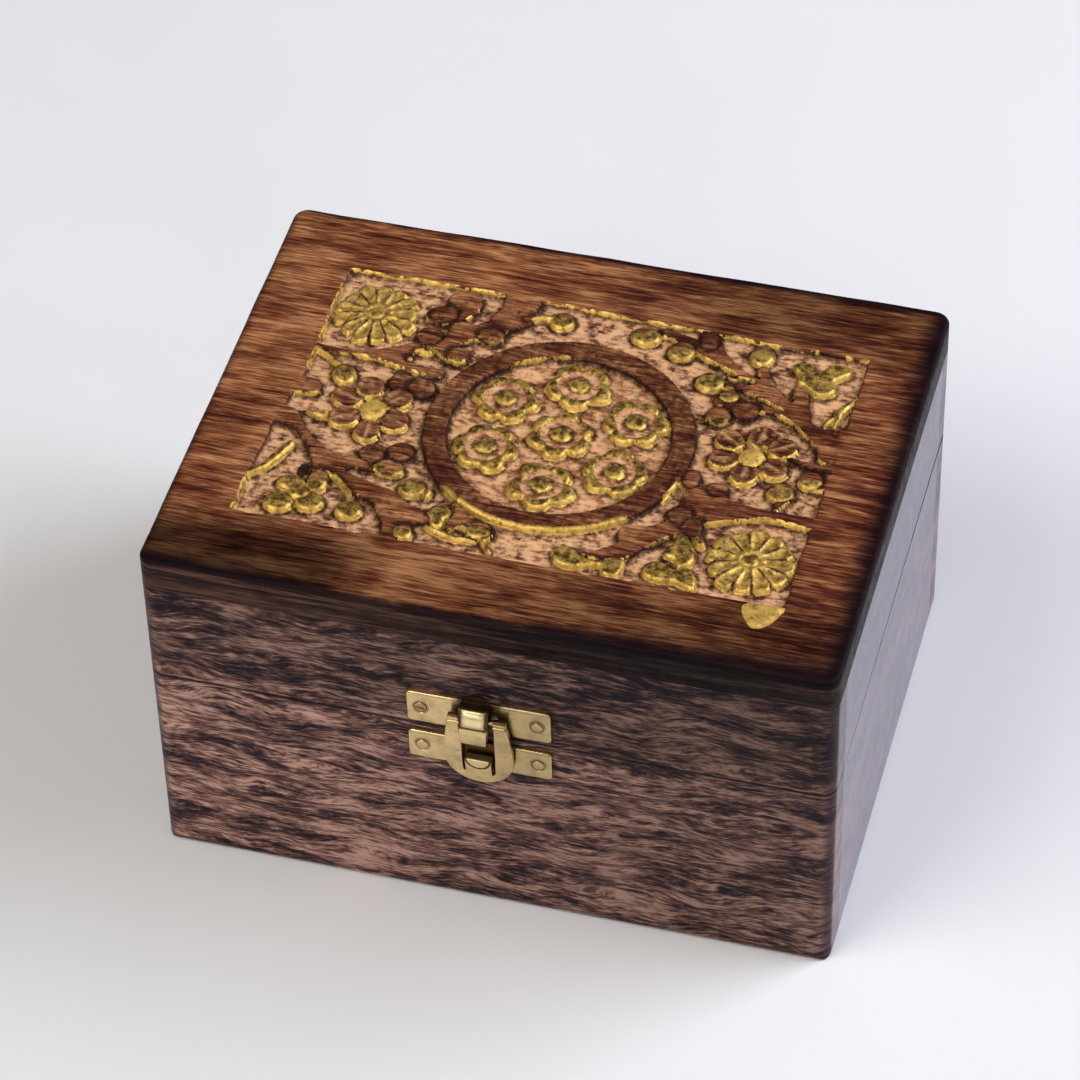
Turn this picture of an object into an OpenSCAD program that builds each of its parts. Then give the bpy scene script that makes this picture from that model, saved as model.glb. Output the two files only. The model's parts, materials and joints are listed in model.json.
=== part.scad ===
// Carved wooden jewelry box: a base and a lid of butted boards, two brass butt hinges at the
// back and a brass swing clasp at the front.
// Millimetres. The origin is the centre of the base's underside, +X to the right, +Y to the
// back, +Z up. The box is drawn closed.

/* [Box] */
// Width, left to right
box_w = 130; // [122:1:160]
// Depth, front to back
box_d = 100; // [90:1:130]
// Height of the closed box
box_h = 76; // [68:1:100]
// Height of the base's walls
base_h = 46.3; // [40:0.1:54]
// Thickness of the wall boards
wall_t = 8; // [7:0.5:11]
// Thickness of the carved top board
top_t = 7; // [5:0.5:9]
// Thickness of the floor board
floor_t = 5; // [3:0.5:8]
// Gap between base and lid at the front
seam_front = 0.15; // [0.1:0.05:0.4]
// Gap between base and lid at the back, held open by the hinge leaves
seam_back = 0.95; // [0.9:0.05:1.4]
// Roundness of the upright edges
corner_r = 3; // [2:0.5:5]
// Roundness of the edges round the top
top_edge_r = 1.6; // [0.6:0.2:3]
// Roundness of the edges round the bottom
bottom_edge_r = 1.5; // [0.6:0.1:3]

/* [Lining] */
// Thickness of the felt in the base
base_felt_t = 1.2; // [0.6:0.2:2]
// Thickness of the felt in the lid
lid_felt_t = 1; // [0.6:0.2:2]
// Gap between the felt and the walls
felt_gap = 0.5; // [0.2:0.1:1.5]

/* [Carving] */
// Width of the carved panel
panel_w = 103; // [96:1:108]
// Depth of the carved panel, front to back
panel_d = 67; // [64:1:72]
// Distance of the panel's middle to the right of the box's middle
panel_x = 0.7; // [-2:0.1:2]
// Depth of the cut ground below the top board
carve_depth = 1.6; // [0.8:0.1:2.4]
// Outer radius of the plain ring
ring_r = 25.3; // [24.5:0.1:27]
// Width of the plain ring
ring_band = 4.3; // [3:0.1:5]
// Distance of the six outer flowers from the middle one
flower_orbit = 13.8; // [13:0.1:14.5]
// Radius of a flower inside the ring
flower_r = 6; // [5:0.1:6.2]
// Radius of the daisies in two corners
daisy_r = 7.7; // [6:0.1:8.2]
// Petals of a daisy
daisy_petals = 12; // [8:1:14]
// Distance of the side flowers' petals from their button
side_petal_orbit = 6.1; // [5.4:0.1:6.6]

/* [Hinges] */
// Length of a hinge
hinge_w = 18; // [14:1:24]
// Distance of each hinge from the middle of the box
hinge_x = 36; // [26:1:44]
// Depth of a hinge leaf on the wall's edge
leaf_d = 6.2; // [5.6:0.1:6.8]
// Thickness of a hinge leaf
leaf_t = 0.38; // [0.3:0.02:0.4]
// Radius of the hinge pin
hinge_pin_r = 0.55; // [0.4:0.05:0.7]
// Radius of the hinge barrel
barrel_r = 1.25; // [1.1:0.05:1.5]
// Angle at which the boards' back edges meet and stop the lid
stop_angle = 100; // [96:1:110]
// Shank radius of the hinge screws
hinge_screw_r = 0.7; // [0.5:0.1:0.9]
// Head radius of the hinge screws
hinge_screw_head_r = 1.25; // [1:0.05:1.4]
// Length of the hinge screws
hinge_screw_l = 5.5; // [4:0.5:7]

/* [Clasp] */
// Distance of the clasp's middle to the right of the box's middle
clasp_x = -1.1; // [-6:0.05:6]
// Width of the two clasp plates
plate_w = 27.2; // [25:0.1:32]
// Height of the upper clasp plate
upper_plate_h = 7.5; // [7.1:0.1:9]
// Height of the lower clasp plate
lower_plate_h = 6.8; // [6:0.1:8]
// Thickness of the clasp's sheet brass
plate_t = 0.8; // [0.6:0.05:0.85]
// Distance of the upper plate above the base's rim
upper_plate_lift = 1.4; // [0.5:0.1:2]
// Distance of the lower plate below the base's rim
lower_plate_drop = 1.5; // [0.6:0.1:2.5]
// Distance between the fasteners of a plate
pin_pitch = 22; // [19.5:0.1:24]
// Shank radius of the clasp's pins and screw
pin_r = 0.8; // [0.5:0.1:1]
// Head radius of the clasp's pins and screw
pin_head_r = 1.4; // [1.2:0.1:1.8]
// Height of their domed heads
pin_head_h = 0.6; // [0.4:0.1:0.9]
// Length of their shanks in the wood
pin_l = 5.5; // [4:0.5:6.5]
// Width of the hook that holds the hasp
hook_w = 5.3; // [4.5:0.1:5.8]
// Distance of the hook's front face from the box
hook_reach = 3.5; // [3.45:0.05:4]
// Distance of the hasp's bar below the upper plate's top edge
bar_drop = 2.9; // [2.7:0.1:3.4]
// Length of the hook's tail below the hasp's bar
tail_l = 6; // [4.5:0.1:6.5]
// Radius of the hasp's bar
bar_r = 0.5; // [0.4:0.05:0.6]
// Thickness of the hasp
hasp_t = 0.9; // [0.7:0.05:1]
// Half of the hasp's width at its bar
hasp_top_r = 5.3; // [5:0.1:6.2]
// Radius of the hasp's round lower end
hasp_r = 6.6; // [6.2:0.1:7.2]
// Length of the hasp from its bar to its lower end
hasp_l = 17.05; // [16.5:0.05:18]
// Width of the band below the hasp's window
hasp_band = 2.4; // [2:0.1:3]
// Half of the window's width
window_r = 3.2; // [3.1:0.05:3.6]
// Lean of the hasp towards the box
hasp_lean = 2.6; // [1.5:0.1:2.8]
// Width of the thumb tongue on the hasp
tongue_w = 4.9; // [4:0.1:5.4]
// Height of the thumb tongue's face
tongue_h = 4.5; // [3.5:0.1:5]
// Distance of the thumb tongue's face in front of the hasp
tongue_proud = 0.95; // [0.75:0.05:1.3]

/* [Hidden] */
$fn = 48;

// A cut that runs out of a solid goes this far past it
past = 1;
// Running clearance of a pin or bar in its bore
fit_gap = 0.06;
// Clearance between parts that turn past each other
turn_gap = 0.3;

// Seam: the lid's underside rises from front to back
seam_tilt = atan((seam_back - seam_front) / box_d);
function underside_z(y) = base_h + seam_front + (seam_back - seam_front) * (y / box_d + 0.5);

// Hinges
pivot_y = box_d / 2 - seam_back / 2 / tan(stop_angle / 2);
leaf_in_y = pivot_y - leaf_d;
leaf_out_y = pivot_y - barrel_r - turn_gap;
pivot_z = (base_h + underside_z(leaf_in_y)) / 2;
knuckle_l = hinge_w / 3;
knuckle_gap = 0.15;
leaf_screw_y = (leaf_in_y + leaf_out_y) / 2;
screw_head_t = leaf_t * 0.7;
screw_slot_w = 0.35;
// Each hinge has a screw near either end of its leaves
screw_inset = hinge_w * 0.22;

// Clasp: heights, and distances in front of the box
upper_plate_z = base_h + upper_plate_lift;
upper_plate_top = upper_plate_z + upper_plate_h;
lower_plate_top = base_h - lower_plate_drop;
upper_pin_z = upper_plate_z + upper_plate_h / 2;
lower_pin_z = lower_plate_top - lower_plate_h / 2;
plate_corner_r = 0.6;
hook_bore_r = bar_r + fit_gap;
// The sheet is drawn a little thinner where it curls round the bar
curl_r = hook_bore_r + plate_t * 0.85;
bar_out = hook_reach - curl_r;
bar_z = upper_plate_top - bar_drop;
hook_bend_r = 1;
// The tail hangs behind the hook's face by this much
tail_set_back = 0.4;

// Hasp and its thumb tongue: the tongue starts at the lower edge of the hasp's window
window_bottom = hasp_band - hasp_l;
window_corner_r = 0.9;
band_front = bar_out + hasp_t / 2 * cos(hasp_lean) + window_bottom * sin(hasp_lean);
tongue_reach = band_front + tongue_proud;
tongue_t = 0.7;
tongue_bottom = bar_z + window_bottom;
tongue_top = tongue_bottom + tongue_h;
tongue_root_h = 1.2;
// The tongue's shelf starts just clear of the lower plate
shelf_back = plate_t + 0.25;

// Carving: places below are for a panel of this size and follow the real one
drawn_w = 103;
drawn_d = 67;
kx = panel_w / drawn_w;
ky = panel_d / drawn_d;
ks = min(kx, ky);
stem_knot = 0.2;

// Half of the foliage; the other half is the same turned by 180 degrees.
// Each stem is [width, [points]], and each bud or lobe is [x, y, radius].
STEMS = [
    [3, [[-51.5, 12.3], [-41, 12.5], [-34, 13.6], [-26, 11.5]]],
    [1.6, [[-51, 12], [-44, 6.8]]],
    [3, [[-30, 24], [-25, 30], [-17, 34.5]]],
    [2.4, [[-29, 20], [-20, 23]]],
    [1.4, [[-15, 31], [-8, 30]]],
    [3, [[51, 9], [39, 18], [29, 24], [22, 30], [20, 33]]],
    [1.5, [[35, 21], [31.5, 30]]],
    [1.6, [[32, 21], [23, 20]]],
    [1.6, [[44, 21], [44, 26]]],
    [1.6, [[21, 31], [9, 30]]]
];
LOBES = [
    [-43.5, 6.5, 2.7], [-33, 7, 2.5], [-28.5, 7.4, 2.7], [-30.5, 20.5, 2.6],
    [-29.5, 27, 3.2], [-28.5, 31.5, 2.6], [-19, 23.5, 2.6], [-7.5, 29.8, 2.6],
    [9, 29.5, 2.8], [16.5, 28, 2.6], [31.5, 29.5, 2.6], [40, 28, 2.9], [44, 24.5, 2.9],
    [47.5, 29, 2.9], [23, 20, 2.5], [28.5, 17.5, 2.6], [32.5, 13.5, 3]
];

// Plan of a box with round corners
module soft_plan(w, d, r) {
    square([w - 2 * r, d], center = true);
    square([w, d - 2 * r], center = true);
    for (sx = [-1, 1], sy = [-1, 1])
        translate([sx * (w / 2 - r), sy * (d / 2 - r)]) circle(r);
}

// Elevation of the box, with round top and bottom edges
module soft_elevation(w) {
    translate([-w / 2, bottom_edge_r]) square([w, box_h - top_edge_r - bottom_edge_r]);
    translate([-w / 2 + bottom_edge_r, 0]) square([w - 2 * bottom_edge_r, box_h / 2]);
    translate([-w / 2 + top_edge_r, box_h / 2]) square([w - 2 * top_edge_r, box_h / 2]);
    for (s = [-1, 1]) {
        translate([s * (w / 2 - bottom_edge_r), bottom_edge_r]) circle(bottom_edge_r);
        translate([s * (w / 2 - top_edge_r), box_h - top_edge_r]) circle(top_edge_r);
    }
}

// The sanded outside of the whole closed box
module outside() {
    intersection() {
        linear_extrude(box_h) soft_plan(box_w, box_d, corner_r);
        translate([0, box_d / 2, 0]) rotate([90, 0, 0]) linear_extrude(box_d) soft_elevation(box_w);
        translate([-box_w / 2, 0, 0]) rotate([90, 0, 90]) linear_extrude(box_w) soft_elevation(box_d);
    }
}

// Everything above the lid's sloping underside
module above_seam() {
    translate([0, -box_d / 2, base_h + seam_front]) rotate([seam_tilt, 0, 0])
        translate([-box_w, -box_d, 0]) cube([2 * box_w, 3 * box_d, box_h]);
}

// A board cut from the box's outside, between two corners
module board(low, high) {
    intersection() {
        outside();
        translate(low) cube(high - low);
    }
}

module lid_board(low, high) {
    intersection() {
        board(low, high);
        above_seam();
    }
}

// Room in the boards' back edges for both hinge barrels
module barrel_room() {
    for (s = [-1, 1])
        translate([s * hinge_x - hinge_w / 2 - turn_gap, pivot_y, pivot_z]) rotate([0, 90, 0])
            cylinder(r = barrel_r + turn_gap, h = hinge_w + 2 * turn_gap);
}

// Pilot holes of the hinge screws, upwards or downwards from the seam
module hinge_screw_holes(up) {
    for (s = [-1, 1], e = [-1, 1])
        translate([s * hinge_x + e * (hinge_w / 2 - screw_inset), leaf_screw_y, pivot_z])
            translate([0, 0, up ? 0 : -hinge_screw_l - leaf_t])
                cylinder(r = hinge_screw_r, h = hinge_screw_l + leaf_t);
}

// Something round that points into the front of the box, at a fastener's place
module at_fastener(side, z) {
    translate([clasp_x + side * pin_pitch / 2, -box_d / 2, z]) rotate([-90, 0, 0]) children();
}

module base_front() {
    color("#6b5043") difference() {
        board([-box_w, -box_d, -past], [box_w, -box_d / 2 + wall_t, base_h]);
        for (s = [-1, 1]) at_fastener(s, lower_pin_z) cylinder(r = pin_r, h = pin_l);
    }
}

module base_back() {
    color("#64483a") difference() {
        board([-box_w, box_d / 2 - wall_t, -past], [box_w, box_d, base_h]);
        barrel_room();
        hinge_screw_holes(false);
    }
}

module base_side(s) {
    color("#6e4f3e") board(
        [s < 0 ? -box_w : box_w / 2 - wall_t, -box_d / 2 + wall_t, -past],
        [s < 0 ? -box_w / 2 + wall_t : box_w, box_d / 2 - wall_t, base_h]);
}

module base_left() {
    base_side(-1);
}

module base_right() {
    base_side(1);
}

module floor_board() {
    color("#7a5a45") translate([-box_w / 2 + wall_t, -box_d / 2 + wall_t, 0])
        cube([box_w - 2 * wall_t, box_d - 2 * wall_t, floor_t]);
}

module felt(z, t) {
    inset = wall_t + felt_gap;
    translate([-box_w / 2 + inset, -box_d / 2 + inset, z])
        cube([box_w - 2 * inset, box_d - 2 * inset, t]);
}

module base_lining() {
    color("#5a1420") felt(floor_t, base_felt_t);
}

module lid_lining() {
    color("#5a1420") felt(box_h - top_t - lid_felt_t, lid_felt_t);
}

// A stem through several points, with a round knot at each that stands a little proud of it
module stem(width, points) {
    for (i = [0:len(points) - 1])
        translate([points[i][0] * kx, points[i][1] * ky]) circle((width / 2 + stem_knot) * ks);
    for (i = [1:len(points) - 1]) {
        a = [points[i - 1][0] * kx, points[i - 1][1] * ky];
        b = [points[i][0] * kx, points[i][1] * ky];
        translate(a) rotate(atan2(b[1] - a[1], b[0] - a[0]))
            translate([0, -width / 2 * ks]) square([norm(b - a), width * ks]);
    }
}

// A flower of round petals about its middle
module flower(petals, r, petal_r) {
    circle(r - petal_r);
    for (i = [0:petals - 1])
        rotate((i + 0.5) * 360 / petals) translate([r - petal_r, 0]) circle(petal_r);
}

module medallion() {
    difference() {
        circle(ring_r);
        circle(ring_r - ring_band);
    }
    flower(6, flower_r, flower_r * 0.36);
    for (i = [0:5])
        rotate(90 + i * 60) translate([flower_orbit, 0]) flower(6, flower_r, flower_r * 0.36);
}

module half_foliage() {
    for (s = STEMS) stem(s[0], s[1]);
    for (l = LOBES) translate([l[0] * kx, l[1] * ky]) circle(l[2] * ks);
    translate([-42.5 * kx, 23.5 * ky])
        flower(daisy_petals, daisy_r * ks, daisy_r * ks * 0.25);
    translate([-35.5 * kx, -1.7 * ky]) {
        circle(2.6 * ks);
        for (i = [0:5])
            rotate(33 + i * 60) translate([side_petal_orbit * ks, 0]) circle(2.5 * ks);
    }
}

module carving_plan() {
    medallion();
    half_foliage();
    rotate(180) half_foliage();
}

module lid_top() {
    color("#8a5a36") difference() {
        board([-box_w, -box_d, box_h - top_t], [box_w, box_d, box_h + past]);
        translate([panel_x, 0, box_h - carve_depth]) linear_extrude(carve_depth + past)
            difference() {
                square([panel_w, panel_d], center = true);
                carving_plan();
            }
    }
}

module lid_front() {
    color("#5d4438") difference() {
        lid_board([-box_w, -box_d, 0], [box_w, -box_d / 2 + wall_t, box_h - top_t]);
        for (s = [-1, 1]) at_fastener(s, upper_pin_z) cylinder(r = pin_r, h = pin_l);
    }
}

module lid_back() {
    color("#5d4438") difference() {
        lid_board([-box_w, box_d / 2 - wall_t, 0], [box_w, box_d, box_h - top_t]);
        barrel_room();
        hinge_screw_holes(true);
    }
}

module lid_side(s) {
    color("#6e4f3e") lid_board(
        [s < 0 ? -box_w : box_w / 2 - wall_t, -box_d / 2 + wall_t, 0],
        [s < 0 ? -box_w / 2 + wall_t : box_w, box_d / 2 - wall_t, box_h - top_t]);
}

module lid_left() {
    lid_side(-1);
}

module lid_right() {
    lid_side(1);
}

// A hinge knuckle on the pivot, from a place along the hinge
module knuckle(from, length, bore_r) {
    translate([from + knuckle_gap / 2, pivot_y, pivot_z]) rotate([0, 90, 0])
        difference() {
            cylinder(r = barrel_r, h = length - knuckle_gap);
            translate([0, 0, -past]) cylinder(r = bore_r, h = length + 2 * past);
        }
}

// The strip that joins a leaf to its knuckle, stopping inside the knuckle's wall
module leaf_neck(from, length, z) {
    translate([from + knuckle_gap / 2, leaf_out_y - past, z])
        cube([length - knuckle_gap, past + barrel_r + turn_gap - hinge_pin_r * 1.4, leaf_t]);
}

module leaf(z) {
    translate([-hinge_w / 2, leaf_in_y, z]) cube([hinge_w, leaf_out_y - leaf_in_y, leaf_t]);
}

// A leaf's two screws, heads towards the seam: head sunk in the leaf, shank in the wood
module leaf_screws(z, up) {
    for (e = [-1, 1])
        translate([e * (hinge_w / 2 - screw_inset), leaf_screw_y, z]) mirror([0, 0, up ? 0 : 1])
            difference() {
                union() {
                    cylinder(r = hinge_screw_head_r, h = screw_head_t);
                    cylinder(r = hinge_screw_r, h = hinge_screw_l);
                }
                translate([-past - hinge_screw_head_r, -screw_slot_w / 2, -past])
                    cube([2 * (past + hinge_screw_head_r), screw_slot_w, past + screw_head_t / 2]);
            }
}

module leaf_screw_seats(z, up) {
    for (e = [-1, 1])
        translate([e * (hinge_w / 2 - screw_inset), leaf_screw_y, z]) mirror([0, 0, up ? 0 : 1]) {
            translate([0, 0, -past]) cylinder(r = hinge_screw_head_r, h = past + screw_head_t);
            cylinder(r = hinge_screw_r, h = leaf_t + past);
        }
}

// The lower leaf carries the middle knuckle, and the pin is tight in it
module hinge_lower(s) {
    z = base_h;
    color("#b8975a") translate([s * hinge_x, 0, 0]) difference() {
        union() {
            leaf(z);
            leaf_neck(-knuckle_l / 2, knuckle_l, z);
            knuckle(-knuckle_l / 2, knuckle_l, hinge_pin_r);
        }
        leaf_screw_seats(z + leaf_t, false);
    }
}

module hinge_lower_left() {
    hinge_lower(-1);
}

module hinge_lower_right() {
    hinge_lower(1);
}

// The upper leaf carries the two outer knuckles, which turn on the pin
module hinge_upper(s) {
    z = 2 * pivot_z - base_h - leaf_t;
    color("#b8975a") translate([s * hinge_x, 0, 0]) difference() {
        union() {
            leaf(z);
            for (from = [-hinge_w / 2, hinge_w / 2 - knuckle_l]) {
                leaf_neck(from, knuckle_l, z);
                knuckle(from, knuckle_l, hinge_pin_r + fit_gap);
            }
        }
        leaf_screw_seats(z, true);
    }
}

module hinge_upper_left() {
    hinge_upper(-1);
}

module hinge_upper_right() {
    hinge_upper(1);
}

module hinge_pin(s) {
    color("#a08048") translate([s * hinge_x - hinge_w / 2, pivot_y, pivot_z]) rotate([0, 90, 0])
        cylinder(r = hinge_pin_r, h = hinge_w);
}

module hinge_pin_left() {
    hinge_pin(-1);
}

module hinge_pin_right() {
    hinge_pin(1);
}

module hinge_screws_lower() {
    color("#c0a060") for (s = [-1, 1])
        translate([s * hinge_x, 0, 0]) leaf_screws(base_h + leaf_t, false);
}

module hinge_screws_upper() {
    color("#c0a060") for (s = [-1, 1])
        translate([s * hinge_x, 0, 0]) leaf_screws(2 * pivot_z - base_h - leaf_t, true);
}

// A clasp plate on the front of the box, its lower edge at z
module clasp_plate(z, h, pin_z) {
    translate([clasp_x, -box_d / 2, 0]) rotate([90, 0, 0]) linear_extrude(plate_t)
        difference() {
            translate([0, z + h / 2]) soft_plan(plate_w, h, plate_corner_r);
            for (s = [-1, 1]) translate([s * pin_pitch / 2, pin_z]) circle(pin_r);
        }
}

// Extrudes an outline drawn as (distance in front of the box, height) across the clasp
module across_clasp(w) {
    translate([clasp_x + w / 2, -box_d / 2, 0]) rotate([90, 0, -90]) linear_extrude(w) children();
}

// The hook leaves the plate's top edge, drops in front of the bar and curls round it
module hook_outline() {
    face_back = hook_reach - plate_t;
    translate([0, upper_plate_top - plate_t]) square([hook_reach - hook_bend_r, plate_t]);
    difference() {
        translate([hook_reach - hook_bend_r, upper_plate_top - hook_bend_r]) circle(hook_bend_r);
        translate([hook_reach - hook_bend_r, upper_plate_top - hook_bend_r])
            circle(hook_bend_r - plate_t);
        translate([0, bar_z]) square([hook_reach - hook_bend_r, bar_drop + past]);
        translate([0, bar_z]) square([hook_reach + past, bar_drop - hook_bend_r]);
    }
    translate([face_back, bar_z]) square([plate_t, bar_drop - hook_bend_r]);
    translate([bar_out, bar_z]) circle(curl_r);
    translate([face_back - tail_set_back, bar_z - tail_l]) square([plate_t, tail_l]);
}

module clasp_hook_plate() {
    color("#c2a468") {
        clasp_plate(upper_plate_z, upper_plate_h, upper_pin_z);
        across_clasp(hook_w) difference() {
            hook_outline();
            translate([bar_out, bar_z]) circle(hook_bore_r);
        }
    }
}

module clasp_catch_plate() {
    color("#c2a468") clasp_plate(lower_plate_top - lower_plate_h, lower_plate_h, lower_pin_z);
}

// A cap of a sphere, standing on its plate
module domed_head() {
    ball_r = (pin_head_r * pin_head_r + pin_head_h * pin_head_h) / 2 / pin_head_h;
    translate([0, 0, -plate_t]) difference() {
        translate([0, 0, ball_r - pin_head_h]) sphere(ball_r);
        translate([-2 * ball_r, -2 * ball_r, 0]) cube(4 * ball_r);
    }
}

module clasp_pin(side, z) {
    at_fastener(side, z) union() {
        domed_head();
        translate([0, 0, -plate_t]) cylinder(r = pin_r, h = plate_t + pin_l);
    }
}

module clasp_pin_upper() {
    color("#d2b878") clasp_pin(1, upper_pin_z);
}

module clasp_pins_lower() {
    color("#d2b878") for (s = [-1, 1]) clasp_pin(s, lower_pin_z);
}

// The one fastener that is a slotted screw
module clasp_screw() {
    slot_w = 0.5;
    slot_deep = 0.45;
    color("#9c8450") difference() {
        clasp_pin(-1, upper_pin_z);
        at_fastener(-1, upper_pin_z) rotate(-20)
            translate([-2 * pin_head_r, -slot_w / 2, -plate_t - pin_head_h - past])
                cube([4 * pin_head_r, slot_w, past + slot_deep]);
    }
}

// The hasp's face, hanging from its bar at the origin
module hasp_outline() {
    ring_y = hasp_r - hasp_l;
    top = [hasp_top_r, 0];
    lean = atan2(-ring_y, hasp_top_r) - acos(hasp_r / norm([hasp_top_r, ring_y]));
    side = [hasp_r * cos(lean), ring_y + hasp_r * sin(lean)];
    difference() {
        union() {
            polygon([top, side, [side[0], ring_y], [-side[0], ring_y], [-side[0], side[1]],
                [-top[0], 0]]);
            translate([0, ring_y]) circle(hasp_r);
        }
        translate([-window_r, window_bottom + window_corner_r])
            square([2 * window_r, past - window_bottom]);
        translate([-window_r + window_corner_r, window_bottom])
            square([2 * (window_r - window_corner_r), past - window_bottom]);
        for (s = [-1, 1])
            translate([s * (window_r - window_corner_r), window_bottom + window_corner_r])
                circle(window_corner_r);
    }
}

// A tongue bent out of the hasp's band: a face to push with and a shelf above it
module thumb_tongue_outline() {
    translate([tongue_reach - tongue_t, tongue_bottom]) square([tongue_t, tongue_h]);
    translate([shelf_back, tongue_top - tongue_t]) square([tongue_reach - shelf_back, tongue_t]);
    root_back = band_front - hasp_t / 2;
    translate([root_back, tongue_bottom - tongue_root_h / 2])
        square([tongue_reach - tongue_t / 2 - root_back, tongue_root_h]);
}

module hasp() {
    color("#c6a86c") {
        translate([clasp_x, -box_d / 2 - bar_out, bar_z]) rotate([hasp_lean, 0, 0]) {
            translate([0, hasp_t / 2, 0]) rotate([90, 0, 0]) linear_extrude(hasp_t) hasp_outline();
            translate([-hasp_top_r, 0, 0]) rotate([0, 90, 0])
                cylinder(r = bar_r, h = 2 * hasp_top_r);
        }
        across_clasp(tongue_w) thumb_tongue_outline();
    }
}

base_front();
base_back();
base_left();
base_right();
floor_board();
base_lining();
lid_top();
lid_front();
lid_back();
lid_left();
lid_right();
lid_lining();
hinge_lower_left();
hinge_lower_right();
hinge_upper_left();
hinge_upper_right();
hinge_pin_left();
hinge_pin_right();
hinge_screws_lower();
hinge_screws_upper();
clasp_hook_plate();
clasp_catch_plate();
clasp_pin_upper();
clasp_pins_lower();
clasp_screw();
hasp();
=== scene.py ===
"""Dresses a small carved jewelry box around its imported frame: wood, gilding, brass and felt."""

import json
import math

import bmesh
import bpy
import numpy as np
from bpy.props import FloatProperty, FloatVectorProperty, PointerProperty
from mathutils import Matrix, Vector
from mathutils.geometry import delaunay_2d_cdt


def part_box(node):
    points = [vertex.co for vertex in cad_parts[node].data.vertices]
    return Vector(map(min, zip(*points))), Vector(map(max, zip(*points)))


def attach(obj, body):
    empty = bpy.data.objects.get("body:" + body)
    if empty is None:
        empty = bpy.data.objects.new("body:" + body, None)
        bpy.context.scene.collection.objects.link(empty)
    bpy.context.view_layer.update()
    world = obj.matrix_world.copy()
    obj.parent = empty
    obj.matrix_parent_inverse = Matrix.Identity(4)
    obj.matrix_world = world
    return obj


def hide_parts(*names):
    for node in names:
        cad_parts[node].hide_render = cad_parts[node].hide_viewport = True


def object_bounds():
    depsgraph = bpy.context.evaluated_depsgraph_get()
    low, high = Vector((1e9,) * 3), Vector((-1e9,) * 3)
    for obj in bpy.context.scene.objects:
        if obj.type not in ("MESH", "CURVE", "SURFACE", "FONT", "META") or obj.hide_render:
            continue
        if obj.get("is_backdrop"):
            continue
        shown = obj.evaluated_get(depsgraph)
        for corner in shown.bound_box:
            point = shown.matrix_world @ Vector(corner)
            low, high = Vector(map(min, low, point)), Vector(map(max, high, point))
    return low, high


bl_info = {
    "name": "Carved jewelry box",
    "version": (1, 0, 0),
    "blender": (4, 5, 0),
    "location": "View3D > Sidebar > Jewelry box",
    "description": "Builds the carving, wood, clasp, hinges and linings of a small jewelry box",
    "category": "Object",
}

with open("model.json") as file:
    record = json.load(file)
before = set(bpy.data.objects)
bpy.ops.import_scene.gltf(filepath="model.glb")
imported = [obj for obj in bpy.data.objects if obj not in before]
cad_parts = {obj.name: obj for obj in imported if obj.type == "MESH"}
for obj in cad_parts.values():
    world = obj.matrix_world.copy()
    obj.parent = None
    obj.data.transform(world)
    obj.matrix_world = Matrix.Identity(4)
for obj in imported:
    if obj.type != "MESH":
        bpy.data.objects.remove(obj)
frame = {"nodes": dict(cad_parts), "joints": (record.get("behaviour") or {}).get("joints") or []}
CAD_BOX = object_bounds()
NODES = frame["nodes"]
MM = 0.001


def node_box(name):
    """Lowest and highest corner of a solid, in millimetres."""
    low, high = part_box(name)
    return np.array(low) / MM, np.array(high) / MM


TOP_LOW, TOP_HIGH = node_box("lid_top")
BOX_W, BOX_D = TOP_HIGH[0] - TOP_LOW[0], TOP_HIGH[1] - TOP_LOW[1]
BOX_H = TOP_HIGH[2]
SEAM_Z = node_box("base_front")[1][2]


# ---------------------------------------------------------------- settings


def linear(shade):
    """Linear colour of a six-digit hex shade."""
    values = [int(shade[i : i + 2], 16) / 255 for i in (0, 2, 4)]
    return [v / 12.92 if v <= 0.04045 else ((v + 0.055) / 1.055) ** 2.4 for v in values]


def colour_setting(name, description, shade):
    return FloatVectorProperty(
        name=name, description=description, default=linear(shade), subtype="COLOR", size=3,
        min=0, max=1,
    )


def length_setting(name, description, default, low, high):
    return FloatProperty(
        name=name, description=description, default=default * MM, min=low * MM, max=high * MM,
        unit="LENGTH", subtype="DISTANCE", precision=5,
    )


def angle_setting(name, description, degrees):
    return FloatProperty(
        name=name, description=description, default=math.radians(degrees), subtype="ANGLE"
    )


def power_setting(name, description, watts):
    return FloatProperty(name=name, description=description, default=watts, min=0, unit="POWER")


class CarvingSettings(bpy.types.PropertyGroup):
    """Sizes and colours of the carved top."""

    depth: length_setting("Depth", "Depth of the carved ground under the board", 1.45, 0.6, 2)
    grid: length_setting("Grid", "Spacing of the points of the carving", 0.31, 0.25, 1)
    top_edge: length_setting("Top edge", "Radius of the sanded top edge", 1, 0.5, 3)
    corner: length_setting("Corner", "Radius of the upright corners", 3, 1, 6)
    wood_light: colour_setting("Light wood", "Pale grain of the top", "b07a50")
    wood_middle: colour_setting("Middle wood", "Middle tone of the top", "7c482c")
    wood_dark: colour_setting("Dark wood", "Dark grain of the top", "431c15")
    ground: colour_setting("Cut ground", "Fresh wood where the carver cut down", "c9996e")
    gold: colour_setting("Gold paint", "Brushed gold paint on the ornament", "c9a252")


class WoodSettings(bpy.types.PropertyGroup):
    """Colours of the walls and the inside."""

    wall_light: colour_setting("Light grain", "Pale grain of the walls", "a88374")
    wall_middle: colour_setting("Middle grain", "Middle tone of the walls", "6b4a41")
    wall_dark: colour_setting("Dark grain", "Dark figure of the walls", "241821")
    inside: colour_setting("Inside", "Plain sanded wood inside", "b08a68")
    felt: colour_setting("Felt", "Pile of the linings", "6e1822")


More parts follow.
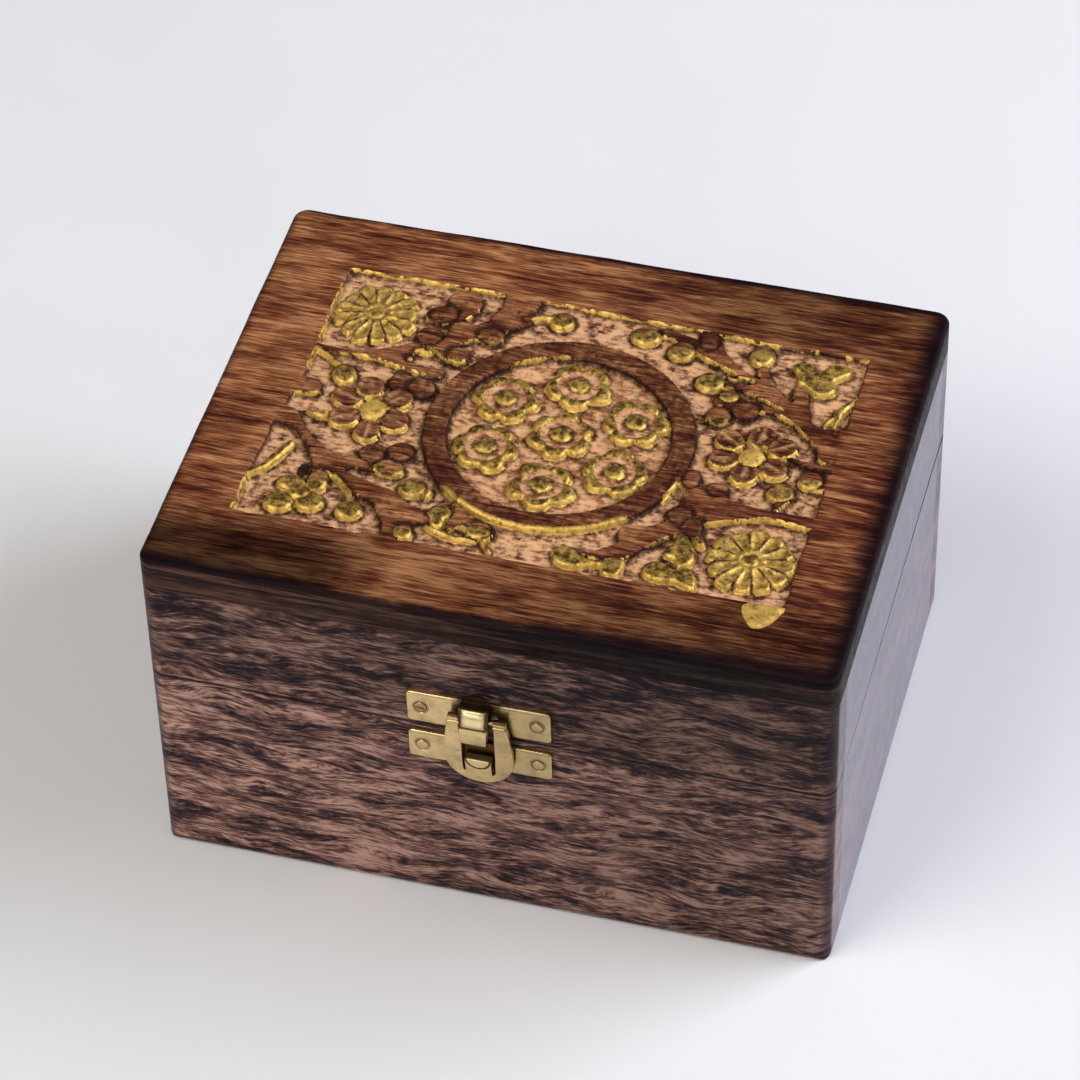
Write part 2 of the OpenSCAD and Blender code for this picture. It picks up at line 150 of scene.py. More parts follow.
class BrassSettings(bpy.types.PropertyGroup):
    """Colours of the metal fittings."""

    clasp: colour_setting("Clasp", "Satin brass of the clasp", "d6ba86")
    hinge: colour_setting("Hinges", "Brass of the hinges", "c9a869")
    tarnish: colour_setting("Tarnish", "Brown tarnish in corners of the brass", "5a3c18")


class StageSettings(bpy.types.PropertyGroup):
    """Camera and light."""

    azimuth: angle_setting("Azimuth", "Camera's turn round the box", 16.23)
    elevation: angle_setting("Elevation", "Camera's height angle", 45.03)
    roll: angle_setting("Roll", "Camera's roll", -1.7)
    lens: FloatProperty(
        name="Lens", description="Focal length in millimetres", default=154.58, min=50, max=300
    )
    floor: colour_setting("Floor", "Plain pale floor", "e8e6e4")
    key_power: power_setting("Key light", "Power of the main soft light", 12)
    side_power: power_setting("Side light", "Power of the light at the right", 17)


class BoxSettings(bpy.types.PropertyGroup):
    """Everything that the panel lists."""

    carving: PointerProperty(type=CarvingSettings)
    wood: PointerProperty(type=WoodSettings)
    brass: PointerProperty(type=BrassSettings)
    stage: PointerProperty(type=StageSettings)


# ---------------------------------------------------------------- meshes


def mesh_piece(name, points, faces, crease=35):
    """An object from points in millimetres, smooth but for edges sharper than `crease` degrees."""
    mesh = bpy.data.meshes.new(name)
    mesh.from_pydata((np.asarray(points, float) * MM).tolist(), [], faces)
    shell = bmesh.new()
    shell.from_mesh(mesh)
    bmesh.ops.recalc_face_normals(shell, faces=shell.faces)
    shell.to_mesh(mesh)
    shell.free()
    piece = bpy.data.objects.new(name, mesh)
    bpy.context.scene.collection.objects.link(piece)
    mesh.shade_smooth()
    mesh.set_sharp_from_angle(angle=math.radians(crease))
    return piece


def dress(piece, body, material, slot, *stands_for):
    """Puts a piece on its body, with its material and the solids it stands for; slot is not used.
    """
    piece.data.materials.append(material)
    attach(piece, body)
    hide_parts(*stands_for)


def finish_node(name, material):
    """Gives a solid that stays as it is its own material."""
    mesh = NODES[name].data
    mesh.materials.clear()
    mesh.materials.append(material)


def grid_quads(index):
    """The squares of a grid of point numbers."""
    corners = (index[:-1, :-1], index[1:, :-1], index[1:, 1:], index[:-1, 1:])
    return np.stack(corners, -1).reshape(-1, 4)


def grid_rim(index):
    """The point numbers round a grid, in order."""
    return np.concatenate([index[:-1, 0], index[-1, :-1], index[:0:-1, -1], index[0, :0:-1]])


def ring_faces(lower, upper, count):
    """Quads between two loops of the same count, that start at these point numbers."""
    k = np.arange(count)
    n = (k + 1) % count
    return np.stack([lower + k, lower + n, upper + n, upper + k], -1).tolist()


def tube(loops):
    """Points and faces of a skin over loops of the same count, closed at both ends."""
    count, last = len(loops[0]), len(loops) - 1
    faces = []
    for k in range(last):
        faces += ring_faces(k * count, (k + 1) * count, count)
    faces += [list(range(count - 1, -1, -1)), list(range(last * count, (last + 1) * count))]
    return np.vstack(loops), faces


def inside(loop, x, y):
    """Whether places lie inside a closed loop."""
    found = np.zeros(np.shape(x), bool)
    for (ax, ay), (bx, by) in zip(loop, np.roll(loop, -1, 0)):
        if ay != by:
            found ^= ((ay > y) != (by > y)) & (x < ax + (y - ay) / (by - ay) * (bx - ax))
    return found


def filled(points, loops):
    """Triangles that fill the first loop of point numbers, but for the loops inside it."""
    chain = np.concatenate(loops)
    edges, at = [], 0
    for loop in loops:
        edges += [(at + k, at + (k + 1) % len(loop)) for k in range(len(loop))]
        at += len(loop)
    flat = points[chain, :2]
    _, _, found, origins, _, _ = delaunay_2d_cdt([Vector(p) for p in flat], edges, [], 0, 1e-6)
    corners = np.array([[origins[v][0] for v in face] for face in found])
    middle = flat[corners].mean(1)
    kept = np.zeros(len(corners), bool)
    for loop in loops:
        kept ^= inside(points[loop, :2], *middle.T)
    return chain[corners[kept]].tolist()


# ---------------------------------------------------------------- node materials


def shaded(colour, factor):
    """A colour made darker or lighter."""
    return [min(c * factor, 1) for c in colour]


class Shading:
    """A procedural material, written as short calls."""

    def __init__(self, name, **surface):
        self.material = bpy.data.materials.new(name)
        self.material.use_nodes = True
        self.tree = self.material.node_tree
        self.tree.nodes.clear()
        self.surface = self.add("ShaderNodeBsdfPrincipled")
        output = self.add("ShaderNodeOutputMaterial")
        self.tree.links.new(self.surface.outputs[0], output.inputs[0])
        for socket, value in surface.items():
            self.surface.inputs[socket.replace("_", " ")].default_value = value

    def add(self, kind, inputs=(), **settings):
        node = self.tree.nodes.new(kind)
        for key, value in settings.items():
            setattr(node, key, value)
        for key, value in dict(inputs).items():
            self.put(node.inputs[key], value)
        return node

    def put(self, socket, value):
        if isinstance(value, bpy.types.NodeSocket):
            self.tree.links.new(value, socket)
        elif socket.type == "RGBA" and len(value) == 3:
            socket.default_value = (*value, 1)
        else:
            socket.default_value = value

    def finish(self, **surface):
        for socket, value in surface.items():
            self.put(self.surface.inputs[socket.replace("_", " ")], value)
        return self.material

    def place(self):
        """Place on the piece, in millimetres."""
        here = self.add("ShaderNodeTexCoord").outputs["Object"]
        return self.stretch(here, (1 / MM,) * 3)

    def stretch(self, vector, factors):
        return self.vector_math("MULTIPLY", vector, factors)

    def shift(self, vector, offset):
        return self.vector_math("ADD", vector, offset)

    def vector_math(self, operation, a, b):
        node = self.add("ShaderNodeVectorMath", {0: a, 1: b}, operation=operation)
        return node.outputs[0]

    def away(self, vector, middle=None, factors=None):
        """Distance from a middle, in units of 1 over the factors."""
        if middle is not None:
            vector = self.shift(vector, [-m for m in middle])
        if factors is not None:
            vector = self.stretch(vector, factors)
        node = self.add("ShaderNodeVectorMath", {0: vector}, operation="LENGTH")
        return node.outputs["Value"]

    def axes(self, vector):
        return self.add("ShaderNodeSeparateXYZ", {0: vector}).outputs

    def noise(self, vector, size, detail=2.0, roughness=0.5, distortion=0.0, stretch=None):
        """Soft noise from 0 to 1 whose features are about `size` across."""
        node = self.add(
            "ShaderNodeTexNoise",
            {
                "Vector": vector if stretch is None else self.stretch(vector, stretch),
                "Scale": 1 / size,
                "Detail": detail,
                "Roughness": roughness,
                "Distortion": distortion,
            },
        )
        return node.outputs["Fac"]

    def math(self, operation, a, b=0.0, c=0.0, clamp=False):
        node = self.add("ShaderNodeMath", {0: a, 1: b, 2: c}, operation=operation, use_clamp=clamp)
        return node.outputs[0]

    def joined(self, operation, first, *others):
        for other in others:
            first = self.math(operation, first, other)
        return first

    def sum(self, *values):
        return self.joined("ADD", *values)

    def times(self, *values):
        return self.joined("MULTIPLY", *values)

    def most(self, *values):
        return self.joined("MAXIMUM", *values)

    def less(self, a, b):
        return self.math("SUBTRACT", a, b)

    def gap(self, a, b):
        """Distance between two values."""
        return self.math("ABSOLUTE", self.less(a, b))

    def scaled(self, value, factor, offset, clamp=False):
        return self.math("MULTIPLY_ADD", value, factor, offset, clamp)

    def span(self, value, low, high, to_low=0.0, to_high=1.0):
        """Smooth change from to_low to to_high as the value goes from low to high."""
        sockets = ("Value", "From Min", "From Max", "To Min", "To Max")
        inputs = dict(zip(sockets, (value, low, high, to_low, to_high)))
        return self.add("ShaderNodeMapRange", inputs, interpolation_type="SMOOTHSTEP").outputs[0]

    def blend(self, share, a, b, kind="MIX"):
        """Colour between a and b."""
        node = self.add("ShaderNodeMix", data_type="RGBA", blend_type=kind)
        for socket, value in ((0, share), (6, a), (7, b)):
            self.put(node.inputs[socket], value)
        return node.outputs[2]

    def ramp(self, value, *stops):
        """Colour from (place, linear colour) stops."""
        node = self.add("ShaderNodeValToRGB", {0: value})
        bar = node.color_ramp
        while len(bar.elements) < len(stops):
            bar.elements.new(0.5)
        for element, (place, colour) in zip(bar.elements, stops):
            element.position = place
            element.color = (*colour, 1)
        return node.outputs[0]

    def bump(self, height, distance, strength=1.0, normal=None):
        """Surface direction from a height whose full reach is `distance` millimetres."""
        inputs = {"Height": height, "Distance": distance * MM, "Strength": strength}
        if normal is not None:
            inputs["Normal"] = normal
        return self.add("ShaderNodeBump", inputs).outputs[0]


# ---------------------------------------------------------------- the carving

# Places are in millimetres from the board's front left corner.
PANEL = [
    (15.3, 85), (15.2, 70), (15.3, 55), (13.6, 42), (13.1, 30), (13, 17), (40, 16.7), (70, 16.3),
    (116.2, 16.4), (116.7, 45), (117.3, 60), (117.3, 82.9), (100, 83.1), (88, 83.6), (60, 84.5),
    (35, 84.9),
]
# Board-level branches: each is an outline.
BRANCHES = [
    [(12, 63.5), (20, 63.3), (25, 64), (29, 65.6), (33, 67.8), (35.5, 66.8), (34, 65.2),
     (34.2, 63), (36.5, 62), (40.2, 61.9), (40.8, 60.6), (39.6, 59.6), (36, 60), (32, 60.6),
     (27, 61.8), (21, 62.1), (12, 62.3)],
    [(33, 68.2), (36.5, 67), (38.4, 65.6), (40, 64.7), (41.8, 64.5), (42.6, 66.4), (41.6, 68.8),
     (43.4, 71), (46.5, 71.8), (48.6, 73.2), (49.6, 76.4), (45.5, 77.2), (42.4, 75.2),
     (40, 76.8), (38.6, 74.4), (37.6, 70)],
    [(33.2, 77.8), (33, 75.2), (35.6, 73.8), (38.8, 75.2), (41.2, 76.6), (42.8, 80.4),
     (41.8, 83.6), (38.6, 84.4), (36, 82.4), (36, 80)],
    [(45, 76.6), (49.4, 75.6), (53.4, 78.4), (51.6, 80.2), (53.2, 82.2), (53.4, 87), (46.8, 87),
     (46.4, 81)],
    [(12, 46), (17, 44.8), (20, 40.6), (23, 37.8), (26, 36), (29, 35.3), (33, 35.2), (36, 34),
     (35, 32.8), (31, 32.8), (30.5, 31.2), (34, 30.2), (38, 29.2), (41, 28.2), (44, 26),
     (48, 24.6), (49, 22.5), (46.5, 21.3), (45, 19), (44, 14), (41.8, 14), (40.6, 19.5),
     (39, 22.5), (37, 25), (34.5, 25.6), (31.5, 27.2), (28.5, 30.2), (26.5, 31.5), (24.4, 29),
     (23.6, 32), (22, 35.2), (20, 38.2), (17.5, 40.5), (12, 42)],
    [(121, 54), (114.6, 54.2), (113, 57.6), (109.5, 61.2), (105, 64.4), (101, 64.8),
     (99.6, 62.6), (97, 62.2), (95.6, 64), (92, 65.3), (91.2, 67.4), (93, 68.4), (96, 68),
     (101, 66.9), (105, 65.9), (101, 67.9), (96, 69.8), (92, 69.6), (91.6, 71.2), (97, 71.4),
     (97.5, 72.6), (92, 72.9), (94.5, 73.4), (90, 75.4), (85.6, 77.6), (85, 80.6), (85.4, 83.8),
     (88.6, 83.8), (90, 80.6), (92, 78), (95, 75.4), (98.7, 73.5), (97.6, 76.4), (99.4, 77.2),
     (100.6, 74.8), (103.4, 70.9), (106, 68.8), (105.3, 73.2), (108.4, 71.8), (109.6, 67.6),
     (112, 63.4), (121, 63.4)],
    [(121, 39.9), (112, 39.8), (104, 40.2), (100.3, 41.2), (99.8, 44.2), (97, 45), (95, 43.6),
     (94.6, 45.2), (93, 47.2), (91, 46.6), (90.6, 43.4), (92, 41), (92.2, 38), (90.6, 36.4),
     (90.6, 33), (94, 31.5), (97.5, 33.4), (101, 34.9), (105, 36.4), (109, 37.6), (114, 37),
     (121, 36.2)],
    [(94.6, 31), (91.6, 28.2), (88.4, 25.2), (86.4, 22.2), (82, 20.6), (78.5, 20.8),
     (80.5, 22.8), (83.4, 25.2), (82.8, 27.6), (83.6, 30), (88, 30.8), (90.6, 32.6), (93.5, 33)],
    [(51.6, 29), (54, 27), (57, 25.3), (60.6, 24.2), (61.2, 21.5), (60, 20.2), (56.5, 20.6),
     (55.6, 22.4), (53, 21), (52, 22.5), (52.4, 25)],
    [(121, 52), (113.4, 52.2), (109, 53.8), (108.4, 54.6), (113.6, 53.6), (121, 54.5)],
]
# How much gold lies on each branch's front edges.
BRANCH_GOLD = (0.75, 0.6, 0.5, 0.3, 0.35, 0.7, 0.95, 0.5, 0.6, 0.2)
THICK_GOLD = 0.9  # with this much, the gold covers the whole of a front edge, not only its rim
# Gilded leaves: outlines again.
LEAVES = [
    [(104.2, 78.2), (105, 80.2), (107, 80.2), (109.3, 78.6), (111, 80.6), (114.2, 80.8),
     (115, 78.8), (112.4, 76.3), (113.2, 74.4), (112.2, 72.4), (109.8, 71.9), (107.4, 73.6),
     (105.6, 74.6), (105.6, 76.6)],
    [(94.2, 30.5), (93, 27), (92.3, 24.5), (94.5, 23.6), (95.5, 22), (97.6, 23.2),
     (97.9, 25.8), (96.4, 28.6)],
    [(90, 18.6), (93, 17.8), (96, 18.2), (99.6, 16.8), (99.4, 20), (97.5, 22.2), (95.2, 21.2),
     (92, 22.4), (89.6, 20.6)],
    [(72.6, 21), (74.6, 22.6), (76.6, 21.6), (78.4, 20.4), (81.6, 20.4), (83.4, 21.2),
     (85.8, 21.6), (86, 18.8), (85.2, 17), (82.8, 17), (81.6, 19), (78.6, 18), (75.6, 17.4),
     (73.4, 18.4)],
    [(18.2, 45.6), (20.5, 45.6), (22.6, 46.6), (22.4, 44.6), (20.6, 44.4)],
]
# Gilded stems: points with the stem's width there.
STEMS = [
    [(15.4, 62.3, 0.8), (18, 61, 0.8), (20.8, 59, 1)],
    [(52, 79, 1.2), (54.5, 80.4, 1), (56.8, 80.8, 1)],
    [(26.8, 30.8, 0.6), (29.5, 29.2, 0.7), (32, 26.8, 0.8), (33.4, 24.4, 1.4)],
    [(18.3, 36.3, 1.4), (16.6, 32.3, 1.8), (14.9, 29, 1.4), (13, 27, 1.2)],
    [(48.3, 21.4, 0.5), (51, 20.4, 1.1), (54.5, 19.6, 1.2), (58.3, 19.6, 0.5)],
    [(59.6, 20, 0.8), (61.2, 18, 0.8)],
    [(50, 25, 2.6), (50.3, 22.4, 2.4)],
    [(118.2, 74, 0.5), (116.4, 70.6, 1.2), (114.4, 67, 1.6), (113.2, 64.4, 0.6)],
    [(117.4, 72, 0.5), (115.6, 68, 0.7), (115, 64.5, 0.8), (115.7, 61.9, 0.5)],
    [(90.6, 47, 0.6), (90.1, 43.5, 0.9), (89, 38, 0.6)],
    [(34, 66, 0.6), (36.6, 66.2, 0.8)],
]
# Plain stems, a little under the board's face.
TWIGS = [
    [(75, 81.4, 2.6), (79, 81.8, 2), (83, 80.6, 3), (86.4, 79.4, 3)],
    [(110, 43.4, 3), (109.3, 40, 1)],
    [(12, 52, 5), (17.2, 52, 4.6)],
    [(121, 49.4, 5), (114, 49.4, 4.6)],
]
# Buds and lobes: x, y, half width, half length, turn in degrees, share of the gilding.
BUDS = [
    (58.6, 80.6, 2.4, 2.4, 0, 0.8), (22.5, 56.8, 2.2, 2.8, 25, 0.9), (42, 66.6, 2.2, 2.2, 0, 0.3),
    (46.6, 73.2, 2.6, 2.2, 0, 0.3), (33.6, 22.2, 2.5, 2.5, 0, 0.9), (43.4, 30.4, 2.6, 2.5, 0, 0.7),
    (37.8, 34.2, 3, 2.2, 0, 0.4), (46.6, 29.6, 0.7, 1.5, 0, 1), (50, 25.2, 2.2, 2.1, 0, 1),
    (58.2, 22.4, 2.4, 2, 0, 0.5), (45, 18.8, 1.8, 1.9, 0, 0.6), (21.5, 26.4, 2.9, 1.9, 0, 0.9),
    (26, 28, 2, 3, 0, 0.7), (26, 22.6, 2.7, 2.5, 0, 1), (20.5, 21.2, 2.8, 2.5, 20, 1),
    (23.4, 24.4, 2, 1.8, 0, 0.9), (93.4, 62.3, 2.5, 2.4, 0, 0.3), (75.1, 80.3, 2.8, 2.5, 0, 0.8),
    (82.6, 77.8, 2.6, 2.5, 0, 0.6), (97.7, 80.2, 2.3, 2.9, 10, 0.8), (89.8, 70.9, 2.8, 2.5, 0, 0.8),
    (94.2, 67.8, 1.9, 1.7, 0, 0.5), (92.4, 20.6, 2.6, 2.2, 0, 0.6), (75.2, 20.2, 2.4, 2.3, 0, 1),
    (109.2, 45.2, 2.5, 2.6, 0, 0.5), (113.8, 49.4, 2.3, 2.3, 0, 0.6),
    (97.7, 29.4, 1.1, 1.8, 30, 0.6), (33.6, 57, 2.5, 2.5, 0, 0), (37.8, 56.2, 2.7, 2.6, 0, 0),
    (35.2, 70.6, 2.6, 2.6, 0, 0), (38.7, 38.9, 2.5, 2.5, 0, 0.1), (33.6, 37.3, 2.5, 2.4, 0, 0),
    (92.8, 34.8, 2.4, 2.3, 0, 0), (95.7, 32.4, 2, 2.3, 0, 0.2), (87.2, 81.2, 1.9, 2.5, 0, 0),
    (98, 64.6, 2.7, 2.3, 0, 0.1), (33.4, 63.4, 0.6, 0.7, 0, 0.8), (36.2, 77, 2.8, 2.4, 0, 0),
    (92.6, 44.5, 1.7, 2.4, 0, 0.1), (97.8, 43, 2.1, 1.8, 0, 0),
]
# Side blossoms: button, then petals, each as x, y, radius.
BLOSSOMS = [
    [(30.5, 48.8, 2.6), (24.9, 51, 2.7), (28.4, 54.3, 2.5), (34.3, 52.2, 2.5), (34.9, 46.7, 2.7),
     (31, 42.9, 2.4), (25.8, 45.6, 2.6)],
    [(102, 53, 2.5), (102.6, 58.5, 2.5), (107, 56.5, 2.5), (106.4, 50.8, 2.5), (101.5, 48.4, 2.6),
     (97, 51.4, 2.5), (97, 56.4, 2.5)],
]
# Flowers of the medallion: x, y, petals, turn in degrees.
ROSETTES = [
    (66.3, 50.3, 6, 30), (66.3, 63.9, 5, -90), (79, 56.6, 6, 10), (78.5, 43, 5, 90),
    (66.3, 36.5, 5, -90), (53.5, 44, 6, 0), (53.8, 57.3, 6, 0),
]
# The corner daisies: x, y, radius, petals, turn in degrees.
DAISIES = [(23.7, 74.2, 8, 13, 10), (107.9, 26.6, 8, 12, 0)]
# The medallion's middle, and the inner and outer radius of its ring.
MEDALLION = (66, 50.1, 20.9, 25.4)
# A dab of gold on the board, beside the panel's front right corner.
PAINT_DAB = [(109.5, 15.6), (116.2, 16.3), (115.9, 13.4), (114.2, 10.8), (112, 9.9), (109.9, 12.4)]

WALL = 0.3  # half the width of a carved wall, in plan
FAR = 9.0  # a distance that is farther than any that matters
TINY = 1e-6


def smooth(value, low, high):
    t = np.clip((value - low) / (high - low), 0, 1)
    return t * t * (3 - 2 * t)


def rounded(points, steps=5, closed=True):
    """Points of a smooth curve through the given ones (Catmull-Rom)."""
    p = np.array(points, float)
    if closed:
        p = np.vstack([p[-1], p, p[:2]])
    else:
        p = np.vstack([2 * p[0] - p[1], p, 2 * p[-1] - p[-2]])
    t = np.linspace(0, 1, steps, endpoint=False)[:, None]
    runs = []
    for a, b, c, d in zip(p[:-3], p[1:-2], p[2:-1], p[3:]):
        runs.append(
            0.5 * (2 * b + (c - a) * t + (2 * a - 5 * b + 4 * c - d) * t**2
                   + (3 * b - a - 3 * c + d) * t**3)
        )
    curve = np.vstack(runs)
    return curve if closed else np.vstack([curve, p[-2]])


def lattice_noise(x, y, size, seed, cells=96):
    """Soft values from -1 to 1 whose features are about `size` across."""
    table = np.random.default_rng(seed).uniform(-1, 1, (cells + 1, cells + 1))
    u, v = x / size, y / size
    i, j = np.floor(u).astype(int), np.floor(v).astype(int)
    fu, fv = smooth(u - i, 0, 1), smooth(v - j, 0, 1)
    i, j = i % cells, j % cells
    near = table[i, j] * (1 - fu) + table[i + 1, j] * fu
    far = table[i, j + 1] * (1 - fu) + table[i + 1, j + 1] * fu
    return near * (1 - fv) + far * fv


def gouge_cells(x, y, size, seed, cells=64):
    """Distance to the nearest of scattered points, in units of their spacing."""
    jitter = np.random.default_rng(seed).uniform(0.1, 0.9, (cells, cells, 2))
    u, v = x / size, y / size
    i, j = np.floor(u).astype(int), np.floor(v).astype(int)
    nearest = np.full_like(x, FAR)
    for di in (-1, 0, 1):
        for dj in (-1, 0, 1):
            centre = jitter[(i + di) % cells, (j + dj) % cells]
            away = np.hypot(u - i - di - centre[..., 0], v - j - dj - centre[..., 1])
            nearest = np.minimum(nearest, away)
    return nearest


def along_edge(x, y, start, end):
    """How far along a straight edge each place lies, from 0 to 1, and its distance from it."""
    (ax, ay), (bx, by) = start, end
    ex, ey = bx - ax, by - ay
    t = np.clip(((x - ax) * ex + (y - ay) * ey) / (ex * ex + ey * ey + 1e-9), 0, 1)
    return t, np.hypot(x - ax - t * ex, y - ay - t * ey)


class Relief:
    """Heights and paint of the carving on a grid, with its stain, painted crevice shade and
    painted highlights, in millimetres from the board's corner.
    """

    def __init__(self, x, y, depth, step):
        self.x, self.y, self.depth, self.step = x, y, depth, step
        self.origin = np.array([x[0, 0], y[0, 0]])
        self.top, self.gold, self.dark, self.ridge = (np.zeros_like(x) for _ in range(4))
        self.fresh, self.panel = np.ones_like(x), np.ones_like(x)
        self.rim = np.full_like(x, FAR)

    def window(self, low, high, pad=1.5):
        """The part of the grid round a box, with room for its walls and stain."""
        low = np.floor((np.array(low) - pad - self.origin) / self.step).astype(int)
        high = np.ceil((np.array(high) + pad - self.origin) / self.step).astype(int) + 1
        low = np.maximum(low, 0)
        return (slice(low[0], max(high[0], 0)), slice(low[1], max(high[1], 0)))

    def lay(self, where, d, crown=1.0, drop=0.12, reach=0.4, gold=0.0, front=0.0, fresh=0.0,
            hollow=0.0, over=False, line=0.7, stain=0.0, thin=False):
        """Raises a shape whose signed distance is d (negative inside), over a window of the grid.
        crown is its height as a share of the depth; its top drops by drop over the outer reach.
        gold covers it all, front its walls and rim that face the front; over cuts it out of what
        is there already; line is how dark its outline is stained and how dark the ground round it
        gets, a stain with painted crevice shade; stain is how dark its top is stained; thin keeps
        the front's gold to the rim. The rims that face the front get a painted highlight."""
        if d.size == 0:
            return
        inward = np.clip(-d / reach, 0, 1)
        dome = self.depth * crown - drop * (1 - inward) ** 2 - hollow
        height = dome * smooth(-d, -WALL, WALL)
        before, panel = self.top[where], self.panel[where]
        if over:
            height = np.where(d < 0, np.maximum(height, np.minimum(before, dome)), height)
            groove = 0.4 * smooth(d, 0.55, 0) * (before > 0.6 * self.depth)
            before = before - np.where(d > 0, groove, 0) * panel
        upper = (height > before - TINY) | (over & (d < 0))
        upper &= d < WALL
        facing = -np.gradient(d, self.step, axis=1) if min(d.shape) > 2 else np.zeros_like(d)
        band = smooth(d, -0.5, -0.15) * smooth(facing, 0.05, 0.45)
        if thin:
            band = band * smooth(d, 0.22, -0.1)
        paint = np.maximum(gold, front * band)
        edge = line * smooth(d, -0.6, -0.08) * (1 - 0.8 * paint)
        stain = np.maximum(edge, stain * (1 - paint)) * panel
        # Painted crevice shade, with stain: the ground just outside the outline is darkened.
        near = np.where(d > -0.05, line * smooth(d, 1.6, 0.1), 0) * panel
        # Painted highlight on the rims that face the front.
        rim = smooth(d, -0.7, -0.2) * smooth(facing, -0.5, 0.9)
        self.top[where] = np.where(upper, height, before)
        self.dark[where] = np.maximum(self.dark[where], near)
        share = np.where(upper, smooth(d, 0.36, 0.0), 0)
        for layer, value in (
            (self.gold, paint), (self.fresh, fresh), (self.dark, stain), (self.ridge, rim)
        ):
            layer[where] += (value - layer[where]) * share
        self.rim[where] = np.minimum(self.rim[where], d)

    def paint_highlight(self, where, share):
        """Keeps the gold at least this bright, as a painted highlight."""
        self.ridge[where] = np.maximum(self.ridge[where], share)

    def outline(self, points, steps=5):
        """Window and signed distance of a smooth closed outline."""
        curve = rounded(points, steps)
        where = self.window(curve.min(0), curve.max(0))
        x, y = self.x[where], self.y[where]
        d = np.full_like(x, FAR)
        for start, end in zip(curve, np.roll(curve, -1, 0)):
            d = np.minimum(d, along_edge(x, y, start, end)[1])
        return where, np.where(inside(curve, x, y), -1, 1) * d

    def stroke(self, points):
        """Window and signed distance of a stem of changing width."""
        run = rounded(points, closed=False)
        half = run[:, 2].max() / 2
        where = self.window(run[:, :2].min(0) - half, run[:, :2].max(0) + half)
        x, y = self.x[where], self.y[where]
        d = np.full_like(x, FAR)
        for start, end in zip(run[:-1], run[1:]):
            t, away = along_edge(x, y, start[:2], end[:2])
            d = np.minimum(d, away - (start[2] + (end[2] - start[2]) * t) / 2)
        return where, d

    def oval(self, cx, cy, rx, ry, turn=0.0):
        """Window and signed distance of an oval."""
        reach = max(rx, ry)
        where = self.window((cx - reach, cy - reach), (cx + reach, cy + reach))
        x, y = self.x[where] - cx, self.y[where] - cy
        c, s = math.cos(math.radians(turn)), math.sin(math.radians(turn))
        u, v = (x * c + y * s) / rx, (y * c - x * s) / ry
        k = np.hypot(u, v)
        slope = np.hypot(u / rx, v / ry)
        return where, k * (k - 1) / np.maximum(slope, TINY)

    def around(self, cx, cy, radius, petals, turn):
        """Window, distance from a flower's middle, how far each place is from its petal's middle
        line, from 0 to 1, and its petal's number."""
        where = self.window((cx - radius, cy - radius), (cx + radius, cy + radius))
        x, y = self.x[where] - cx, self.y[where] - cy
        turns = (np.arctan2(y, x) - math.radians(turn)) / math.tau * petals
        index = np.round(turns)
        return where, np.hypot(x, y), np.abs(turns - index) * 2, index % petals

    def rosette(self, cx, cy, petals, turn):
        """A star-petalled flower with a sunk ring and a raised button."""
        where, away, side, index = self.around(cx, cy, 7, petals, turn)
        x, y = self.x[where], self.y[where]
        swell = 1 + 0.13 * np.sin(index * 2.7 + cx * 1.3)
        edge = 4.75 + 1.5 * swell * (1 - side**2.4)
        edge += 0.42 * lattice_noise(x, y, 2.2, 6)
        d = (away - edge) * 0.9
        blots = lattice_noise(x, y, 1.3, 5)
        ring = away + 0.35 * blots
        moat = 0.6 * smooth(ring, 1.9, 2.5) * (1 - smooth(ring, 3.5, 4.3))
        fold = 0.3 * smooth(side, 0.55, 1) * smooth(away, 3.6, 4.8)
        tip = 0.45 * smooth(away, 4.6, 6.5) ** 2
        pale = smooth(ring, 1.9, 2.4) * (1 - smooth(ring, 3.5, 4.4))
        pale = np.clip(pale * (1.25 + 0.5 * blots), 0, 1)
        self.lay(
            where, d, crown=0.97, drop=0.2, reach=0.6, gold=1 - pale, fresh=pale,
            hollow=moat + fold + tip,
        )
        where, d = self.oval(cx + 0.1 * petals - 0.5, cy, 2.0, 1.85, 30 * petals)
        self.lay(where, d, crown=0.98, drop=0.55, reach=1.3, gold=1, over=True)

    def daisy(self, cx, cy, radius, petals, turn):
        """A many-petalled flower: dished petals with pale ridges between them, and a button."""
        where, away, side, index = self.around(cx, cy, radius + 1, petals, turn)
        ripple = 1 + 0.05 * np.sin(index * 2.4 + cx)
        notch = 0.17 * smooth(side, 0.45, 1) ** 2
        d = away - radius * ripple * (1 - notch)
        dish = 0.55 * (1 - side**2) * smooth(away, 1.8, 3.4)
        dish *= 1 - smooth(away, 0.72 * radius, radius)
        ridge = smooth(side, 0.66, 0.9) * smooth(away, 1.6, 2.6)
        ridge *= 1 - smooth(away, 0.8 * radius, radius)
        low = 0.1 * smooth(away, 0.3 * radius, radius)
        # Stain with painted shade darkens the pale ridges between the petals.
        self.lay(
            where, d, crown=0.97, drop=0.45, reach=0.9, gold=1 - ridge, fresh=ridge,
            hollow=dish + low, stain=0.3 + 0.5 * ridge,
        )
        # Painted highlight on the daisy's gold.
        self.paint_highlight(where, 0.5 * (d < 0))
        where, d = self.oval(cx, cy, 1.7, 1.6)
        self.lay(where, d, crown=0.96, drop=0.4, reach=1.0, gold=1, over=True, line=0.4)

